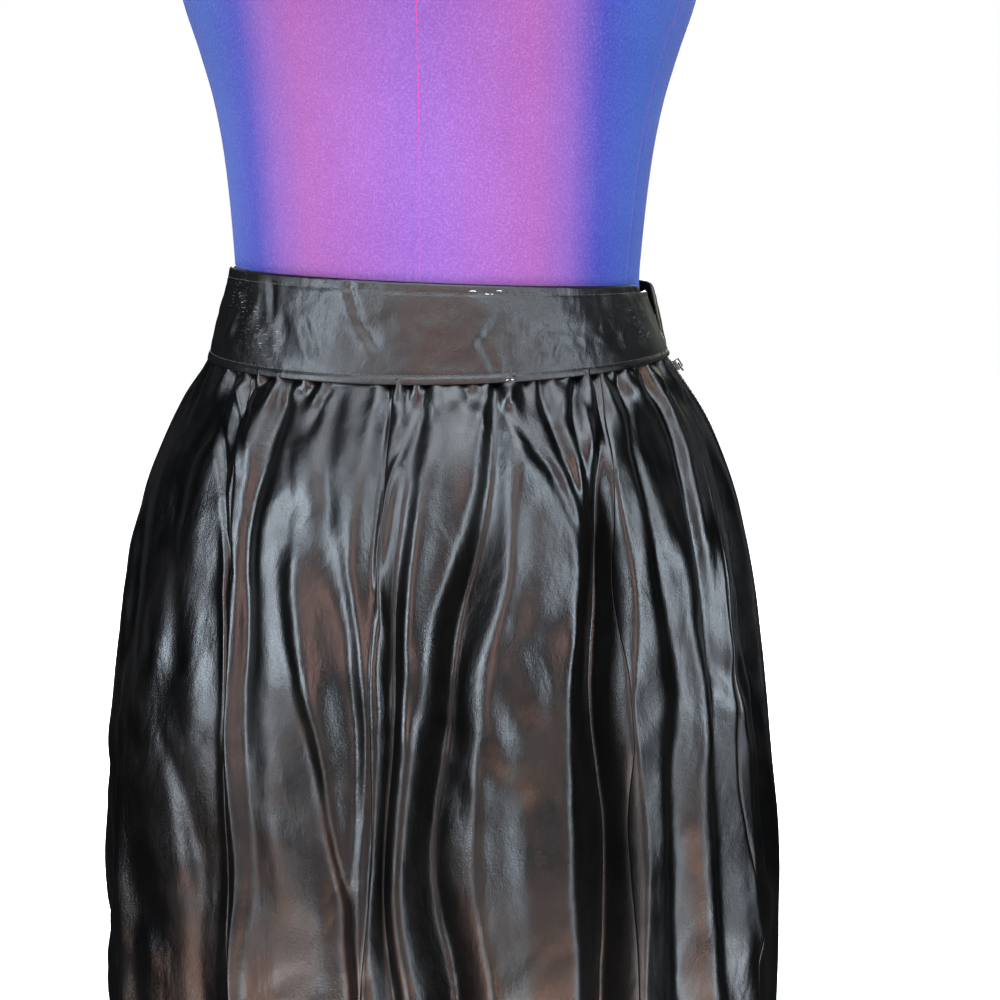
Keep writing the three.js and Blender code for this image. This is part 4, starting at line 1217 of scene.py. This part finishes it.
# Where each light stands and points (metres), its width and height, its power and its colour.
LIGHTS = table(
    "name at to size watts tint",
    ("window_left", (-1.9, -1.55, 1.45), (0, 0, 0.95), (1.1, 2.2), 134, WINDOW),
    ("window_right", (1.9, -1.45, 1.40), (0, 0, 0.95), (1.0, 2.2), 112, WINDOW),
    ("above_front", (0.1, -0.95, 2.5), (0, 0, 0.95), (2.2, 1.2), 92, SKY),
    ("warm_wall", (0.02, -2.3, 1.60), (0, 0, 1.0), (1.0, 1.1), 36, (1.0, 0.70, 0.62)),
    ("warm_near", (-0.12, -0.56, 0.04), (-0.12, -0.55, 1.0), (1.0, 0.4), 13, (1.0, 0.72, 0.60)),
    ("warm_far", (0.40, -1.22, 0.04), (0.40, -1.20, 1.0), (0.42, 0.6), 9, (1.0, 0.64, 0.47)),
    ("warm_left", (-1.15, -1.10, 0.04), (-1.1, -1.05, 1.0), (0.8, 0.9), 15, (1.0, 0.68, 0.55)),
    ("warm_middle", (0.62, -1.75, 0.04), (0.6, -1.7, 1.0), (0.5, 0.9), 12, (1.0, 0.64, 0.48)),
    ("pool_left", (-0.42, -1.15, 0.04), (-0.40, -1.10, 1.0), (0.62, 0.75), 17, POOL),
    ("pool_right", (0.95, -0.85, 0.04), (0.92, -0.82, 1.0), (0.5, 1.1), 24, POOL),
    ("front_wall", (0.0, -2.6, 0.80), (0, 0, 0.8), (2.6, 0.8), 15, SKY),
    ("rim_left", (-1.3, 0.9, 1.05), (0, 0, 0.85), (0.14, 1.5), 0.6, RIM),
    ("rim_right", (1.3, 0.9, 1.05), (0, 0, 0.85), (0.14, 1.5), 2.3, RIM),
    ("side_left", (-0.95, 1.35, 1.95), (-0.13, 0, 1.0), (1.0, 0.7), 3.7, OLIVE),
    ("side_right", (0.95, 1.35, 1.95), (0.13, 0, 1.0), (1.0, 0.7), 9, OLIVE),
    ("behind", (0.0, 2.5, 1.7), (0, 0, 0.95), (1.7, 1.8), 99, SKY),
)


def build_floor():
    """A pale floor that the satin's reflections don't show."""
    corners = [((x - 0.5) * FLOOR_SIDE, (y - 0.5) * FLOOR_SIDE, 0.0) for y in (0, 1) for x in (0, 1)]
    floor = make_piece("pale_floor", np.array(corners) / MM, [(0, 1, 3, 2)])
    tree, shader, place, _ = new_material("Pale floor", (0.86, 0.86, 0.85), 0.7, Emission_Color=(1, 1, 1, 1))
    mottled = use_effect(tree, "Soft patches", place, Size=3, Least=0.3, Most=0.7)
    pale = mix_colours(tree, mottled, (0.87, 0.87, 0.865), (0.84, 0.84, 0.835))
    seen = tree.nodes.new("ShaderNodeLightPath").outputs["Is Camera Ray"]
    tree.links.new(mix_colours(tree, seen, (0.012, 0.011, 0.010), pale), shader["Base Color"])
    away = add_node(tree, "ShaderNodeVectorMath", {0: place}, operation="LENGTH").outputs["Value"]
    paler = spread(tree, away, 0.3, 2.0, 0.5, 1.0, "SMOOTHSTEP")
    tree.links.new(add_math(tree, "MULTIPLY", seen, paler), shader["Emission Strength"])
    floor.data.materials.append(bpy.data.materials["Pale floor"])


def build_lights():
    for row in LIGHTS:
        light = bpy.data.lights.new(row["name"], "AREA")
        light.shape = "RECTANGLE"
        light.size, light.size_y = row["size"]
        light.energy = row["watts"]
        light.color = row["tint"]
        lamp = bpy.data.objects.new(row["name"], light)
        lamp.location = row["at"]
        aim = np.array(row["to"]) - np.array(row["at"])
        flat = math.hypot(aim[0], aim[1])
        lamp.rotation_euler = (math.atan2(flat, -aim[2]), 0, math.atan2(aim[1], aim[0]) - math.pi / 2)
        lamp.visible_camera = False
        bpy.context.scene.collection.objects.link(lamp)


def build_world():
    """A white backdrop, and a dim even light from all round."""
    world = bpy.data.worlds.new("Studio")
    world.use_nodes = True
    tree = world.node_tree
    tree.nodes.clear()
    backdrop = add_node(tree, "ShaderNodeBackground", {"Color": (1, 1, 1, 1)}).outputs[0]
    lighting = add_node(
        tree, "ShaderNodeBackground", {"Color": (0.80, 0.86, 1.0, 1), "Strength": 0.02}).outputs[0]
    seen = tree.nodes.new("ShaderNodeLightPath").outputs["Is Camera Ray"]
    mixed = add_node(tree, "ShaderNodeMixShader", {0: seen, 1: lighting, 2: backdrop}).outputs[0]
    add_node(tree, "ShaderNodeOutputWorld", {0: mixed})
    scene = bpy.context.scene
    scene.world = world
    scene.view_settings.view_transform = "Standard"
    scene.view_settings.gamma = CONTRAST_GAMMA


def build_camera():
    camera = bpy.data.cameras.new("camera")
    camera.lens = CAMERA["lens"]
    camera.sensor_width = 36
    eye = bpy.data.objects.new("camera", camera)
    swing = math.radians(CAMERA["round"])
    away = CAMERA["distance"]
    eye.location = (away * math.sin(swing), -away * math.cos(swing), CAMERA["height"])
    eye.rotation_euler = (math.radians(90 - CAMERA["down"]), 0, swing - math.radians(CAMERA["aside"]))
    bpy.context.scene.collection.objects.link(eye)
    bpy.context.scene.camera = eye


# ---- the add-on

def finished_after(*steps):
    """Makes the finishes if they are missing, runs an operator's steps, and returns its result."""
    make_finishes()
    for step in steps:
        step()
    return {"FINISHED"}



def colour_setting(name, description, default):
    return FloatVectorProperty(
        name=name, description=description, default=default, size=3, min=0, max=1, subtype="COLOR")


class SkirtSizes(PropertyGroup):
    """What a user would change about the skirt."""
    satin_colour: colour_setting(
        "Satin colour", "The satin's own colour, under its gloss", (0.0009, 0.0011, 0.0013))
    stitch_pitch: FloatProperty(
        name="Stitch pitch", description="From one stitch to the next",
        default=0.0028, min=0.0015, max=0.006, unit="LENGTH")
    stitch_seed: IntProperty(
        name="Stitch seed", description="Which uneven run of stitches is drawn", default=4, min=0)


class FormColoursAndPaintedLight(PropertyGroup):
    """The dress form's cover: its own blue at the sides, and painted warm light towards the middle."""
    # Painted light: the middle, blush and between colours are the cover with warm light painted on.
    middle_with_painted_light: colour_setting(
        "Middle", "The cover's colour with warm light painted on, at the middle of the front and back", (0.083, 0.040, 0.138))
    blush_with_painted_light: colour_setting(
        "Blush", "The cover's colour with pinker warm light painted on, either side of the middle", (0.107, 0.039, 0.121))
    between_with_painted_light: colour_setting(
        "Between", "The cover's colour with less warm light painted on, between the middle and the sides", (0.018, 0.026, 0.138))
    side_colour: colour_setting("Sides", "The cover's colour at the sides", (0.0095, 0.042, 0.148))
    thread_colour: colour_setting("Thread", "The thread in the cover's seams", (0.26, 0.02, 0.10))


class SKIRT_OT_form(Operator):
    """Covers the dress form's torso and turns its neck cap."""
    bl_idname = "skirt.form"
    bl_label = "Dress form"

    def execute(self, context):
        return finished_after(build_form)


class SKIRT_OT_stand(Operator):
    """Builds the stand's pole and foot."""
    bl_idname = "skirt.stand"
    bl_label = "Stand"

    def execute(self, context):
        return finished_after(build_stand)


class SKIRT_OT_waistband(Operator):
    """Builds the waistband, and finishes the hook and bar behind its ends."""
    bl_idname = "skirt.waistband"
    bl_label = "Waistband"

    def execute(self, context):
        return finished_after(build_waistband, finish_hook)


class SKIRT_OT_panels(Operator):
    """Builds the skirt's eight gathered panels."""
    bl_idname = "skirt.panels"
    bl_label = "Skirt panels"

    def execute(self, context):
        return finished_after(build_panels)


class SKIRT_OT_zip(Operator):
    """Builds the zip's tape, teeth, slider and ring."""
    bl_idname = "skirt.zip"
    bl_label = "Zip"

    def execute(self, context):
        return finished_after(build_zip)


class SKIRT_OT_stitches(Operator):
    """Sews the stitches of the band, the zip and the hem."""
    bl_idname = "skirt.stitches"
    bl_label = "Stitches"

    def execute(self, context):
        return finished_after(build_stitches)


class SKIRT_OT_stage(Operator):
    """Sets up the floor, the lights and the camera."""
    bl_idname = "skirt.stage"
    bl_label = "Stage"

    def execute(self, context):
        return finished_after(build_floor, build_lights, build_world, build_camera)


class SKIRT_PT_parts(Panel):
    """Lists the skirt's settings and the steps that build it."""
    bl_label = "Skirt"
    bl_idname = "SKIRT_PT_parts"
    bl_space_type = "VIEW_3D"
    bl_region_type = "UI"
    bl_category = "Skirt"

    def draw(self, context):
        for settings in (context.scene.skirt_sizes, context.scene.form_colours):
            for label in settings.bl_rna.properties.keys():
                if label not in {"rna_type", "name"}:
                    self.layout.prop(settings, label)
        for step in STEPS:
            self.layout.operator(step.bl_idname)


STEPS = (SKIRT_OT_stage, SKIRT_OT_form, SKIRT_OT_stand, SKIRT_OT_waistband, SKIRT_OT_panels, SKIRT_OT_zip,
         SKIRT_OT_stitches)
CLASSES = (SkirtSizes, FormColoursAndPaintedLight, *STEPS, SKIRT_PT_parts)


def register():
    for each in CLASSES:
        bpy.utils.register_class(each)
    bpy.types.Scene.skirt_sizes = PointerProperty(type=SkirtSizes)
    bpy.types.Scene.form_colours = PointerProperty(type=FormColoursAndPaintedLight)


def unregister():
    del bpy.types.Scene.form_colours
    del bpy.types.Scene.skirt_sizes
    for each in reversed(CLASSES):
        bpy.utils.unregister_class(each)


def main():
    register()
    bpy.ops.skirt.stage()
    bpy.ops.skirt.form()
    bpy.ops.skirt.stand()
    bpy.ops.skirt.waistband()
    bpy.ops.skirt.panels()
    bpy.ops.skirt.zip()
    bpy.ops.skirt.stitches()


if __name__ == "__main__":
    main()
